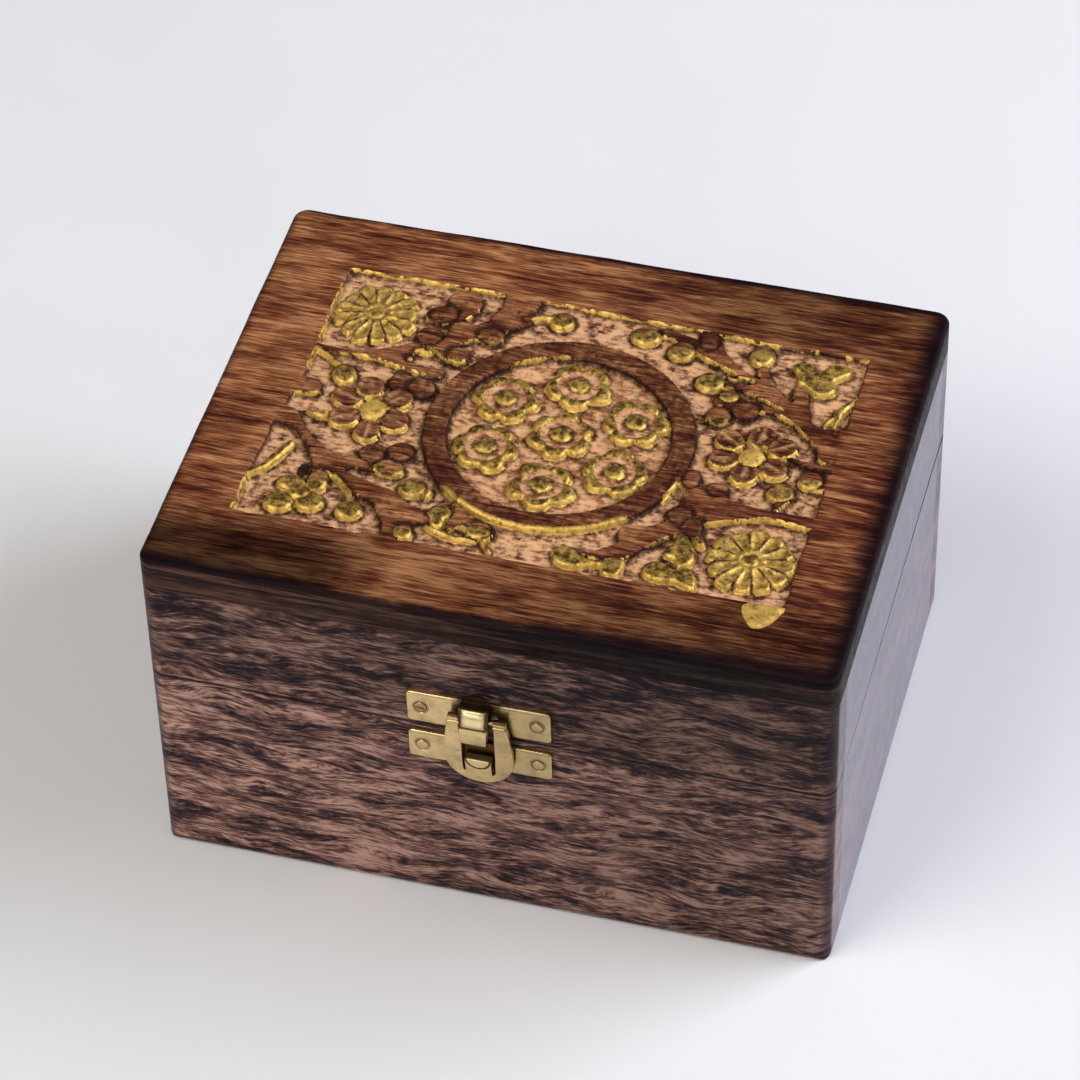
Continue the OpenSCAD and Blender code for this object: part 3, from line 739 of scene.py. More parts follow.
    def blossom(self, button, *petals):
        """Six round petals with a fold along each, and a gilded button."""
        bx, by, br = button
        for px, py, r in petals:
            turn = math.degrees(math.atan2(py - by, px - bx))
            where, d = self.oval(px, py, r * 1.2, r * 1.08, turn)
            x, y = self.x[where] - px, self.y[where] - py
            along = np.array([px - bx, py - by]) / math.hypot(px - bx, py - by)
            across = np.abs(x * along[1] - y * along[0])
            fold = smooth(across, 0.5, 0.1) * smooth(-d, 0.1, 0.7)
            dish = 0.42 * smooth(-d, 0.3, 1.4) * smooth(across, 0, 0.9)
            self.lay(
                where, d, crown=0.9, drop=0.35, reach=0.7, gold=0.22, front=1, fresh=0.5 * fold,
                hollow=dish, over=True, stain=0.3,
            )
        where, d = self.oval(bx, by, br, br)
        self.lay(where, d, crown=1.0, drop=0.7, reach=br, gold=1, over=True)
        # Painted highlight on the blossom's button.
        self.paint_highlight(where, smooth(d, 0.3, -0.6))

    def bud(self, cx, cy, rx, ry, turn, share):
        """A round bud whose gilding is thickest on the half that faces the front."""
        where, d = self.oval(cx, cy, rx, ry, turn)
        low = smooth(cy + ry * 0.55 - self.y[where], 0, ry)
        self.lay(
            where, d, crown=0.97, drop=0.38, reach=min(rx, ry) * 0.62,
            gold=share * (0.45 + 0.55 * low), front=min(1.5 * share, 1), over=True, stain=0.45,
            line=0.85,
        )

    def field(self, everywhere, wobble, broken):
        """The board round the cut panel, with gilding along the far and left walls."""
        x, y = self.x, self.y
        where, d = self.outline(PANEL, 1)
        margin = np.full_like(x, -FAR)
        margin[where] = -d
        margin = margin + wobble
        self.panel = smooth(margin, -0.5, 0.1)
        gaps = smooth(np.abs(x - 48.7), 1.6, 2.2) * smooth(np.abs(x - 110.5), 2, 3)
        back = smooth(y, 79, 81) * gaps * np.clip(0.5 + 0.35 * broken, 0, 1)
        left = smooth(x, 20, 18) * (smooth(y, 56, 57) * smooth(y, 82, 80) + smooth(y, 27, 26))
        self.lay(everywhere, margin, crown=1, drop=0, reach=1, front=back, line=0.4, thin=True)
        edge = smooth(margin, -0.5, -0.2)
        self.gold = np.maximum(self.gold, left * edge * (margin < WALL) * 0.9)

    def medallion(self, everywhere, wobble):
        """The plain ring, gilded on the walls that face the front and on its front brim."""
        cx, cy, inner, outer = MEDALLION
        x, y = self.x - cx, self.y - cy
        away = np.hypot(x, y)
        angle = np.degrees(np.arctan2(y, x))
        ring = np.maximum(away - outer, inner - away) + wobble * 0.4
        sides = smooth(np.abs(angle + 89), 52, 34) + smooth(np.abs(angle - 112), 26, 10) * 0.5
        sides += smooth(np.abs(angle + 14), 16, 8) * 0.6 * (away > outer - 2)
        brim = 0.95 * smooth(np.abs(angle + 89), 48, 32) * smooth(away, outer - 1.1, outer - 0.7)
        self.lay(
            everywhere, ring, crown=1, drop=0.1, reach=0.35, gold=brim,
            front=np.minimum(sides, 1), stain=0.5,
        )
        # Painted highlight on the ring's front brim.
        self.paint_highlight(everywhere, brim * (np.abs(ring) < 0.8))

    def carve(self):
        """Lays every shape of the panel."""
        x, y = self.x, self.y
        everywhere = (slice(None), slice(None))
        wobble = 0.22 * lattice_noise(x, y, 4, 11) + 0.12 * lattice_noise(x, y, 1.6, 12)
        broken = 0.5 + 0.5 * lattice_noise(x, y, 3.2, 13) + 0.3 * lattice_noise(x, y, 1.2, 14)
        self.field(everywhere, wobble, broken)
        self.medallion(everywhere, wobble)
        for outline, share in zip(BRANCHES, BRANCH_GOLD):
            where, d = self.outline(outline)
            front = share * np.clip(0.35 + broken[where], 0, 1)
            self.lay(
                where, d, crown=1, drop=0.14, reach=0.5, front=front, stain=0.28,
                thin=share < THICK_GOLD,
            )
        for twig in TWIGS:
            self.lay(
                *self.stroke(twig), crown=0.97, drop=0.3, reach=0.9, gold=0.1, front=0.6,
                stain=0.4,
            )
        for bud in BUDS:
            self.bud(*bud)
        for leaf in LEAVES:
            self.lay(
                *self.outline(leaf), crown=0.95, drop=0.3, reach=0.9, gold=0.85, front=1,
                over=True,
            )
        for stem in STEMS:
            self.lay(*self.stroke(stem), crown=0.96, drop=0.25, reach=0.5, gold=0.95)
        for kind, flowers in (
            (self.blossom, BLOSSOMS), (self.daisy, DAISIES), (self.rosette, ROSETTES)
        ):
            for flower in flowers:
                kind(*flower)
        where, d = self.outline(PAINT_DAB)
        self.top[where] += 0.2 * smooth(-d, 0, 1)
        self.gold[where] = np.maximum(self.gold[where], smooth(d, 0.12, -0.12))
        # Painted highlight on the dab of gold.
        self.paint_highlight(where, smooth(d, 0.12, -0.12))
        return self

    def snapped(self):
        """The grid with the point of each row or column nearest to an outline moved onto it."""
        gx, gy = np.gradient(self.rim, self.step)
        steep = np.abs(gy) >= np.abs(gx)
        slope = np.where(steep, gy, gx)
        slope = np.where(np.abs(slope) < 0.4, FAR, slope)
        move = self.rim / slope
        near = np.abs(move) < self.step * 0.49
        near[:2], near[-2:], near[:, :2], near[:, -2:] = False, False, False, False
        move = np.where(near, move, 0)
        return self.x - np.where(steep, 0, move), self.y - np.where(steep, move, 0)

    def worked(self):
        """Heights with the gouge marks of the ground and the soft wear of the carving."""
        x, y = self.x, self.y
        cell = gouge_cells(x + 0.4 * lattice_noise(x, y, 2, 3), y, 1.9, 21)
        fine = gouge_cells(x, y + 0.3 * lattice_noise(x, y, 1.5, 4), 1.05, 22)
        floor = 0.16 * cell**2 + 0.08 * fine + 0.07 * lattice_noise(x, y, 5, 23)
        floor += 0.12 * smooth(self.rim, 1.2, 0.2)
        ground = smooth(self.top, 0.5 * self.depth, 0)
        wear = 0.035 * lattice_noise(x, y, 1.3, 24) + 0.02 * lattice_noise(x, y, 0.7, 25)
        painted = smooth(self.gold, 0.1, 0.5)
        motif = (1 - ground) * (self.rim > -FAR + 2)
        flat = smooth(np.abs(self.top - self.depth), 0.02, 0.1)
        return self.top + ground * (floor - 0.12) + wear * motif * np.maximum(flat, painted)


# The carved part of the board: its margins at the left and right, the front and the back.
SIDE_MARGINS, FRONT_MARGIN, BACK_MARGIN = (11.4, 11), 9.2, 13.2


def perimeter(inset, radius, side_step=1.6, arc=6):
    """Points round the board at an inset from its sides, with round corners."""
    radius = max(radius - inset, 0.4)
    low = np.array([inset, inset]) + radius
    high = np.array([BOX_W - inset, BOX_D - inset]) - radius
    corners = [
        ((high[0], low[1]), -90), ((high[0], high[1]), 0), ((low[0], high[1]), 90),
        ((low[0], low[1]), 180),
    ]
    counts = [round(BOX_D / side_step), round(BOX_W / side_step)] * 2
    points = []
    for k, ((cx, cy), start) in enumerate(corners):
        for angle in np.radians(start + np.linspace(0, 90, arc + 1)):
            points.append((cx + radius * math.cos(angle), cy + radius * math.sin(angle)))
        nx, ny = corners[(k + 1) % 4][0]
        end = np.radians(corners[(k + 1) % 4][1])
        a = np.array(points[-1])
        b = np.array([nx + radius * math.cos(end), ny + radius * math.sin(end)])
        for t in np.linspace(0, 1, counts[k] + 1)[1:-1]:
            points.append(tuple(a + (b - a) * t))
    return np.array(points)


def edge_loops(edge_r, corner_r):
    """Loops up the sides of the top board and over its worn round edge."""
    profile = [(0, TOP_LOW[2]), (0, BOX_H - edge_r)]
    profile += [
        (edge_r * (1 - math.cos(a)), BOX_H - edge_r * (1 - math.sin(a)))
        for a in np.radians([18, 36, 54, 72, 90])
    ]
    loops = []
    for inset, z in profile:
        loop = perimeter(inset, corner_r)
        lift = (z - BOX_H + edge_r) / edge_r if z > BOX_H - edge_r else 0
        worn = 0.16 * lattice_noise(loop[:, 0], loop[:, 1], 9, 31) * lift * (1 - lift) * 4
        loops.append(np.column_stack([loop, np.full(len(loop), z) + worn]))
    return loops


def carved_board(depth, step, edge_r, corner_r):
    """Points, faces and paint of the whole top board."""
    xs = np.arange(SIDE_MARGINS[0], BOX_W - SIDE_MARGINS[1], step)
    ys = np.arange(FRONT_MARGIN, BOX_D - BACK_MARGIN, step)
    x, y = np.meshgrid(xs, ys, indexing="ij")
    plain = Relief(x, y, depth, step).carve()
    relief = Relief(*plain.snapped(), depth, step).carve()
    heights = relief.worked() + BOX_H - depth
    index = np.arange(x.size).reshape(x.shape)
    carving = np.stack([relief.x.ravel(), relief.y.ravel(), heights.ravel()], -1)
    quads = grid_quads(index)
    # each square is split along its more level diagonal, so that walls run clean
    level = heights.ravel()[quads]
    first = np.abs(level[:, 0] - level[:, 2]) <= np.abs(level[:, 1] - level[:, 3])
    split = np.where(first[:, None], quads[:, [0, 1, 2, 0, 2, 3]], quads[:, [0, 1, 3, 1, 2, 3]])
    faces = split.reshape(-1, 3).tolist()
    loops = edge_loops(edge_r, corner_r)
    start, count = x.size, len(loops[0])
    for k in range(len(loops) - 1):
        faces += ring_faces(start + k * count, start + (k + 1) * count, count)
    faces.append(list(range(start + count - 1, start - 1, -1)))
    outer = start + (len(loops) - 1) * count + np.arange(count)
    points = np.vstack([carving, *loops])
    faces += filled(points, [outer, grid_rim(index)])
    points[:, 0] -= BOX_W / 2
    points[:, 1] -= BOX_D / 2
    extra = np.zeros(len(points) - x.size)
    # Layers: gold, raw ground, stain with painted crevice shade, and the gold's painted highlight.
    layers = (relief.gold, relief.fresh, relief.dark, relief.ridge)
    paint = np.stack([np.concatenate([layer.ravel(), extra]) for layer in layers], -1)
    return points, faces, paint


# ---------------------------------------------------------------- materials

# Shades of the cut ground, of what stains or washes it, of the stain and painted crevice
# shade on the ground and on the gold, and of the gilding's thin places.
GROUND_DEEP, GROUND_MIDDLE, SPECK = linear("4a2a20"), linear("96694c"), linear("3a1d18")
GOLD_WASH, PIT_BLACK, CREVICE_STAIN_AND_SHADE = linear("a8683a"), linear("120c0e"), linear("2a140e")
THIN_GOLD, GOLD_CREVICE_STAIN_AND_SHADE = linear("553a18"), linear("3e260e")
# The top's burnt edge, the dark wood of its sides and the line along them.
BURNT, EDGE_LINE = (0.005, 0.002, 0.004), (0.003, 0.0015, 0.002)
EDGE_WOOD = (0.004, 0.001, 0.001), (0.03, 0.0125, 0.0105), (0.11, 0.05, 0.033)
# The painted pale sheen on the long walls' ends, the walls' knots and the line between base and
# lid.
PAINTED_END_SHEEN, KNOT, SEAM_LINE = linear("aaa2a8"), linear("170e12"), linear("140b0e")
# Dirt and painted shade on the brass, and its painted highlight and wear.
BRASS_DIRT_AND_SHADE, BRASS_HIGHLIGHT_AND_WEAR = (0.034, 0.012, 0.002), (1.0, 0.82, 0.44)

ALONG_X, IN_PLAN = (0.6, 1, 1), (1, 1, 0)  # factors that stretch a figure or flatten it
PIT = (22.3, 30.8)  # a black pit in the ground, from the board's front left corner
END_X = BOX_W / 2


def timber(s, place, run, deep, dark, middle, light, wave=(1.2, 0.4), fleck=0.5, shade=None,
           zone=0.5, size=1.0, length=1.0, curl=0.0, gain=1.9):
    """Colour, height and tone of wood whose grain runs along the axis `run`; the board is thin
    along `deep`. wave holds how far the grain wanders over some 15 mm and over some 4 mm; zone,
    fleck and curl are the shares of broad zones, short dashes and curly marks, a larger size
    makes the figure finer, length draws it out along the grain and gain is the contrast."""

    def along(by):
        factors = [size, size, size]
        factors[run], factors[deep] = size * by / length, 0.15
        return factors

    width = 3 - run - deep
    wide = s.noise(place, 8, 1, stretch=along(0.45))
    near = s.noise(place, 3.2, 2, stretch=along(0.55))
    lift = s.sum(*(
        s.scaled(drift, 4 * reach, -2 * reach) for drift, reach in zip((wide, near), wave)
    ))
    across = s.add("ShaderNodeCombineXYZ", {width: lift}).outputs[0]
    bent = s.shift(place, across)
    zones = s.noise(bent, 4, 3, 0.6, stretch=along(0.3))
    streaks = s.noise(bent, 0.85, 5, 0.7, stretch=along(0.15))
    dashes = s.noise(bent, 0.36, 2, 0.6, stretch=along(0.18))
    tone = s.sum(s.times(zones, zone), s.sum(s.times(streaks, 1.0), s.times(dashes, fleck)))
    if curl:
        marks = s.noise(bent, 1.15, 3, 0.65, 0.5, stretch=along(0.42))
        tone = s.sum(tone, s.times(marks, curl))
    centre = (zone + 1.0 + fleck + curl) / 2
    tone = s.scaled(tone, gain, 0.5 - gain * centre, clamp=True)
    if shade is not None:
        tone = s.math("SUBTRACT", tone, shade, clamp=True)
    colour = s.ramp(
        tone, (0.0, shaded(dark, 0.7)), (0.2, dark), (0.5, middle), (0.8, light),
        (1.0, shaded(light, 1.15)),
    )
    pores = s.span(s.noise(bent, 0.26, 1, stretch=along(0.14)), 0.58, 0.68)
    colour = s.blend(s.times(pores, 0.6), colour, shaded(dark, 0.6))
    height = s.less(s.sum(s.times(streaks, 0.5), s.times(dashes, 0.5)), s.times(pores, 0.7))
    return colour, height, tone


def scorch(s, place):
    """How far the burning of the top's edges reaches, from 0 to 1."""
    x, y, _ = s.axes(place)
    ragged = s.scaled(s.noise(place, 4, 3, 0.6, stretch=(0.45, 1, 0.2)), 3.6, -1.8)
    to_right = s.sum(s.less(END_X, x), ragged)
    to_left = s.sum(s.sum(END_X, x), s.times(ragged, 0.4))
    to_front = s.sum(s.sum(BOX_D / 2, y), ragged)
    to_back = s.sum(s.less(BOX_D / 2, y), s.times(ragged, 0.7))
    wide = s.sum(s.span(x, -5, 62, 2.6, 7.5), s.span(x, -28, -50, 0, 2.4))
    front = s.span(s.math("DIVIDE", to_front, wide), 1, 0.1)
    right = s.span(to_right, 6.2, 0.9)
    left = s.span(to_left, 2.0, 0.3, 0, 0.6)
    back = s.span(s.math("DIVIDE", to_back, s.span(x, -END_X, END_X, 2.0, 4.2)), 1, 0.15)
    return s.most(s.most(front, right), s.most(left, back))


def top_wood(s, place, settings):
    """Straight-grained red-brown wood of the top, stained in places and burnt at its edges."""
    x, y, z = s.axes(place)
    back_right = s.times(s.span(x, -20, 45), s.span(y, 24, 42, 0, 0.5))
    front_left = s.times(s.span(x, -18, -34), s.span(y, -30, -42, 0, 0.6))
    front_right = s.times(s.span(x, -35, 50, 0.4, 1.1), s.span(y, -28, -42, 0, 0.55))
    gloom = s.less(1.0, s.sum(back_right, s.sum(front_left, front_right)))
    patch = s.span(s.noise(place, 7, 2, 0.6, stretch=(0.5, 1, 0.2)), 0.32, 0.68, -0.13, 0.16)
    wood, height, _ = timber(
        s, place, 0, 2, settings.wood_dark, settings.wood_middle, settings.wood_light,
        wave=(0.5, 0.12), fleck=0.75, shade=s.sum(patch, s.span(x, -40, 60, -0.04, 0.06)),
        size=1.25, length=2.8, gain=1.5,
    )
    wood = s.blend(1.0, wood, gloom, "MULTIPLY")
    wood = s.blend(s.times(scorch(s, place), 0.95), wood, BURNT)
    side = s.span(z, BOX_H - 0.25, BOX_H - 0.95)
    straight, _, _ = timber(
        s, place, 0, 1, *EDGE_WOOD, wave=(0.3, 0.05), fleck=0.3,
        shade=s.span(x, -50, 55, -0.12, 0.24), size=0.9, length=3,
    )
    wood = s.blend(side, wood, straight)
    line = s.times(s.span(z, BOX_H - 2.8, BOX_H - 1.0), s.span(x, -40, 40, 0.1, 0.95))
    return s.blend(s.times(line, side), wood, EDGE_LINE), height


def cut_ground(s, place, light):
    """Freshly cut ground, with stain left in its hollows and a wash of gold in the medallion."""
    blots = s.noise(place, 2.6, 5, 0.68)
    long_blots = s.noise(place, 0.8, 3, 0.6, stretch=(0.35, 1, 1))
    ground = s.ramp(
        s.span(s.sum(blots, s.times(long_blots, 0.65)), 0.6, 1.05),
        (0.0, GROUND_DEEP), (0.28, GROUND_MIDDLE), (0.6, light), (1.0, shaded(light, 1.3)),
    )
    specks = s.span(s.noise(place, 0.6, 3, 0.7, stretch=ALONG_X), 0.68, 0.75)
    ground = s.blend(s.times(specks, 0.75), ground, SPECK)
    cx, cy, inner, _ = MEDALLION
    away = s.away(place, (cx - END_X, cy - BOX_D / 2, 0), IN_PLAN)
    wash = s.times(s.span(away, inner + 1, inner - 1, 0, 0.35), s.span(blots, 0.6, 0.4))
    ground = s.blend(wash, ground, GOLD_WASH)
    away = s.away(place, (PIT[0] - END_X, PIT[1] - BOX_D / 2, 0), (0.9, 0.45, 0))
    pit = s.span(s.sum(away, s.times(s.noise(place, 0.9), 0.8)), 1.6, 1.2)
    return s.blend(s.times(pit, 0.95), ground, PIT_BLACK)


def brushed_gold(s, place, gold, ridge, colour):
    """How thickly the paint lies, and its colour: olive on the tops and brighter at the rims, where
    a painted highlight lightens it.
    """
    brush = s.sum(
        s.noise(place, 2.4, 3, 0.6), s.times(s.noise(place, 0.6, 3, 0.7, stretch=ALONG_X), 0.6)
    )
    cover = s.span(s.sum(gold, s.scaled(brush, 1.1, -0.88)), 0.26, 0.54)
    cover = s.times(cover, s.span(gold, 0.03, 0.2))
    # The ridge layer adds a painted highlight to the gold.
    mottle = s.sum(s.noise(place, 1.3, 4, 0.66), s.times(ridge, 0.2))
    paint = s.ramp(
        s.span(mottle, 0.34, 0.82),
        (0.0, THIN_GOLD), (0.3, shaded(colour, 0.62)), (0.6, colour),
        (1.0, shaded(colour, 1.55)),
    )
    return cover, paint


def top_material(settings):
    s = Shading("carved_top_wood", IOR=1.14)
    place = s.place()
    # The carving's layers: gold, raw ground, stain with painted crevice shade, and in alpha the
    # painted highlight on the gold.
    carving = s.add("ShaderNodeAttribute", attribute_name="carving")
    gold, fresh, stain_and_crevice_shade = s.add("ShaderNodeSeparateColor", {0: carving.outputs["Color"]}).outputs
    ridge = carving.outputs["Alpha"]
    wood, height = top_wood(s, place, settings)
    colour = s.blend(fresh, wood, cut_ground(s, place, settings.ground))
    # Stain and painted crevice shade darken the ground and the wood round the ornament.
    stain = s.scaled(s.noise(place, 1.4, 3, 0.65), 1.6, -0.8)
    stain = s.span(s.sum(stain_and_crevice_shade, stain), 0.12, 0.9, 0, 0.93)
    colour = s.blend(stain, colour, CREVICE_STAIN_AND_SHADE)
    cover, paint = brushed_gold(s, place, gold, ridge, settings.gold)
    # The same stain and painted crevice shade darken the gold.
    paint = s.blend(s.times(stain, 0.5), paint, GOLD_CREVICE_STAIN_AND_SHADE)
    colour = s.blend(cover, colour, paint)
    rough = s.span(s.noise(place, 2.5), 0.3, 0.7, 0.42, 0.56)
    rough = s.sum(rough, s.times(fresh, 0.25))
    rough = s.sum(s.times(rough, s.less(1.0, cover)), s.times(cover, 0.46))
    grain = s.bump(height, 0.05, 0.5)
    cut = s.times(s.noise(place, 0.45, 3, 0.6, stretch=(0.7, 1, 1)), s.most(fresh, cover))
    return s.finish(
        Base_Color=colour, Roughness=rough, Metallic=s.times(cover, 0.6),
        Normal=s.bump(cut, 0.15, 0.6, grain),
    )


def wall_wood(s, place, settings, run):
    """The walls' figured wood: darker at the top (stain and painted shade), at the bottom edge,
    and, as painted shade, towards the right.
    """
    x, _, z = s.axes(place)
    # Darker towards the top (stain) and towards the bottom edge, with inky patches.
    edge = s.sum(z, s.times(s.noise(place, 4, stretch=(0.3, 0.3, 1)), 3))
    stain = s.sum(s.span(z, 6, BOX_H, -0.03, 0.06), s.span(edge, 6.5, 2.5, 0, 0.14))
    inky = s.noise(place, 7, 3, 0.6, 0.3, stretch=(0.45, 0.45, 1))
    stain = s.sum(stain, s.span(inky, 0.36, 0.68, -0.1, 0.13))
    colour, height, _ = timber(
        s, place, run, 1 - run, settings.wall_dark, settings.wall_middle, settings.wall_light,
        wave=(0.8, 0.15) if run else (1.8, 0.2), fleck=0.7, shade=stain, zone=0.8, size=1.15,
        length=1.5, curl=0.5, gain=0.85 if run else 1.9,
    )
    # Painted shade: the walls darken towards the right; the lid is darker too, partly stain and
    # partly painted shade.
    gloom = s.times(s.span(z, SEAM_Z - 4, SEAM_Z + 5, 1, 0.62), s.span(x, -60, 65, 1.14, 0.6))
    gloom = s.times(gloom, s.span(z, BOX_H - 13, BOX_H - 6, 1, 0.8))
    colour = s.blend(1.0, colour, gloom, "MULTIPLY")
    out = s.math("ABSOLUTE", x)
    corner = s.times(
        s.span(out, END_X - 2.4, END_X - 0.6, 0, 0.75), s.span(out, END_X - 0.05, END_X - 0.3)
    )
    return s.blend(corner, colour, shaded(settings.wall_dark, 1.2)), height


# Knots and stains of the front: x, z, half width, half height, strength.
FRONT_MARKS = [
    (-49.2, 39.4, 0.75, 0.7, 0.95), (-62, 7.6, 4.5, 1.3, 0.75), (-24, 33.2, 7, 1, 0.4),
    (28, 21, 6, 1.6, 0.5), (19, 11, 5, 2, 0.5), (47, 23, 4.5, 0.35, 0.7), (52, 20.6, 3.2, 0.4, 0.6),
    (-8, 8, 9, 0.9, 0.35), (44, 40, 7, 0.8, 0.35),
]


# How light meets the long walls, and the short ones with their dusty sheen.
WALL_FINISH = (
    {"IOR": 1.18},
    {"IOR": 1.65, "Sheen_Weight": 1.0, "Sheen_Roughness": 0.28,
     "Sheen_Tint": (0.84, 0.83, 1.0, 1.0)},
)


def wall_material(name, settings, run):
    """Figured wood of the walls, with its grain along x (0) or y (1)."""
    s = Shading(name, **WALL_FINISH[run])
    place = s.place()
    x, y, z = s.axes(place)
    colour, height = wall_wood(s, place, settings, run)
    rough = s.span(s.noise(place, 3), 0.3, 0.7, 0.3, 0.42)
    if not run:
        # Painted sheen: the long walls' ends are tinted pale, like the glare on the short walls.
        end = s.span(s.math("ABSOLUTE", x), END_X - 0.2, END_X - 0.02, 0, 0.32)
        colour = s.blend(end, colour, PAINTED_END_SHEEN)
        front = s.span(y, 0, -1)
        for at_x, at_z, wide, high, depth in FRONT_MARKS:
            away = s.away(place, (at_x, 0, at_z), (1 / wide, 0, 1 / high))
            ragged = s.times(s.noise(place, 0.9), 0.7)
            mark = s.times(s.span(s.sum(away, ragged), 1.6, 0.9), depth)
            colour = s.blend(s.times(mark, front), colour, KNOT)
    seam = s.span(s.gap(z, SEAM_Z), 0.55, 0.12)
    colour = s.blend(s.times(seam, 0.85), colour, SEAM_LINE)
    return s.finish(Base_Color=colour, Roughness=rough, Normal=s.bump(height, 0.06, 0.6))


def inside_material(settings):
    s = Shading("sanded_wood")
    light = settings.inside
    dark = shaded(light, 0.45)
    middle = [d + (b - d) * 0.6 for d, b in zip(dark, light)]
    colour, height, tone = timber(s, s.place(), 0, 2, dark, middle, light, wave=(0.6, 0.2))
    return s.finish(
        Base_Color=colour, Roughness=s.span(tone, 0, 1, 0.75, 0.6), Normal=s.bump(height, 0.05, 0.6)
    )


def felt_material(settings):
    s = Shading("felt_pile", Sheen_Weight=0.6, Sheen_Roughness=0.4)
    place = s.place()
    felt = settings.felt
    pile = s.noise(place, 0.5, 4, 0.7)
    nap = s.noise(place, 9, 3, 0.6)
    tone = s.sum(s.times(pile, 0.6), s.times(nap, 0.5))
    colour = s.ramp(tone, (0.35, shaded(felt, 0.5)), (0.55, felt), (0.75, shaded(felt, 1.5)))
    rough = s.span(pile, 0.3, 0.7, 0.85, 1.0)
    return s.finish(Base_Color=colour, Roughness=rough, Normal=s.bump(pile, 0.25, 0.7))


def brass_material(name, colour, tarnish, rough=0.3, dirt=0.5, dirt_shade_and_highlight=None):
    """Satin brass with fine scratches and brown tarnish; the optional function, called with
    (s, place), says how dark and brown each place is from dirt and painted shade and how light
    from painted highlight and wear, and with it the brass gets painted shade towards the right."""
    s = Shading(name, Metallic=1.0)
    place = s.place()
    cloud = s.noise(place, 3.2, 4, 0.6)
    spots = s.span(s.noise(place, 1.1, 3, 0.65), 0.62, 0.74)
    shade = s.ramp(cloud, (0.3, shaded(colour, 0.7)), (0.5, colour), (0.7, shaded(colour, 1.15)))
    shade = s.blend(s.times(spots, dirt), shade, tarnish)
    scratch = s.noise(place, 0.16, 2, 0.6, stretch=(0.12, 1, 1))
    dents = s.noise(place, 2.2)
    roughness = s.sum(s.span(cloud, 0.3, 0.7, rough, rough + 0.1), s.times(spots, 0.2))
    if dirt_shade_and_highlight:
        x = s.axes(place)[0]
        # Painted shade: the brass darkens towards the right.
        shade = s.blend(1.0, shade, s.span(x, CLASP_X - 5, CLASP_X + 8, 1.02, 0.72), "MULTIPLY")
        # Dirt and painted shade darken it; painted highlight and wear lighten it.
        dirt_and_shade, highlight_and_wear = dirt_shade_and_highlight(s, place)
        shade = s.blend(highlight_and_wear, shade, BRASS_HIGHLIGHT_AND_WEAR)
        shade_and_dirt_share = s.sum(dirt_and_shade, s.scaled(s.noise(place, 0.8, 3, 0.6), 0.7, -0.35))
        shade_and_dirt_share = s.times(s.span(shade_and_dirt_share, 0.1, 0.9), s.span(dirt_and_shade, 0.02, 0.2))
        shade = s.blend(s.times(shade_and_dirt_share, 0.93), shade, BRASS_DIRT_AND_SHADE)
        roughness = s.sum(roughness, s.times(shade_and_dirt_share, 0.15))
    normal = s.bump(scratch, 0.003, 0.5, s.bump(dents, 0.04, 0.25))
    return s.finish(Base_Color=shade, Roughness=roughness, Normal=normal)


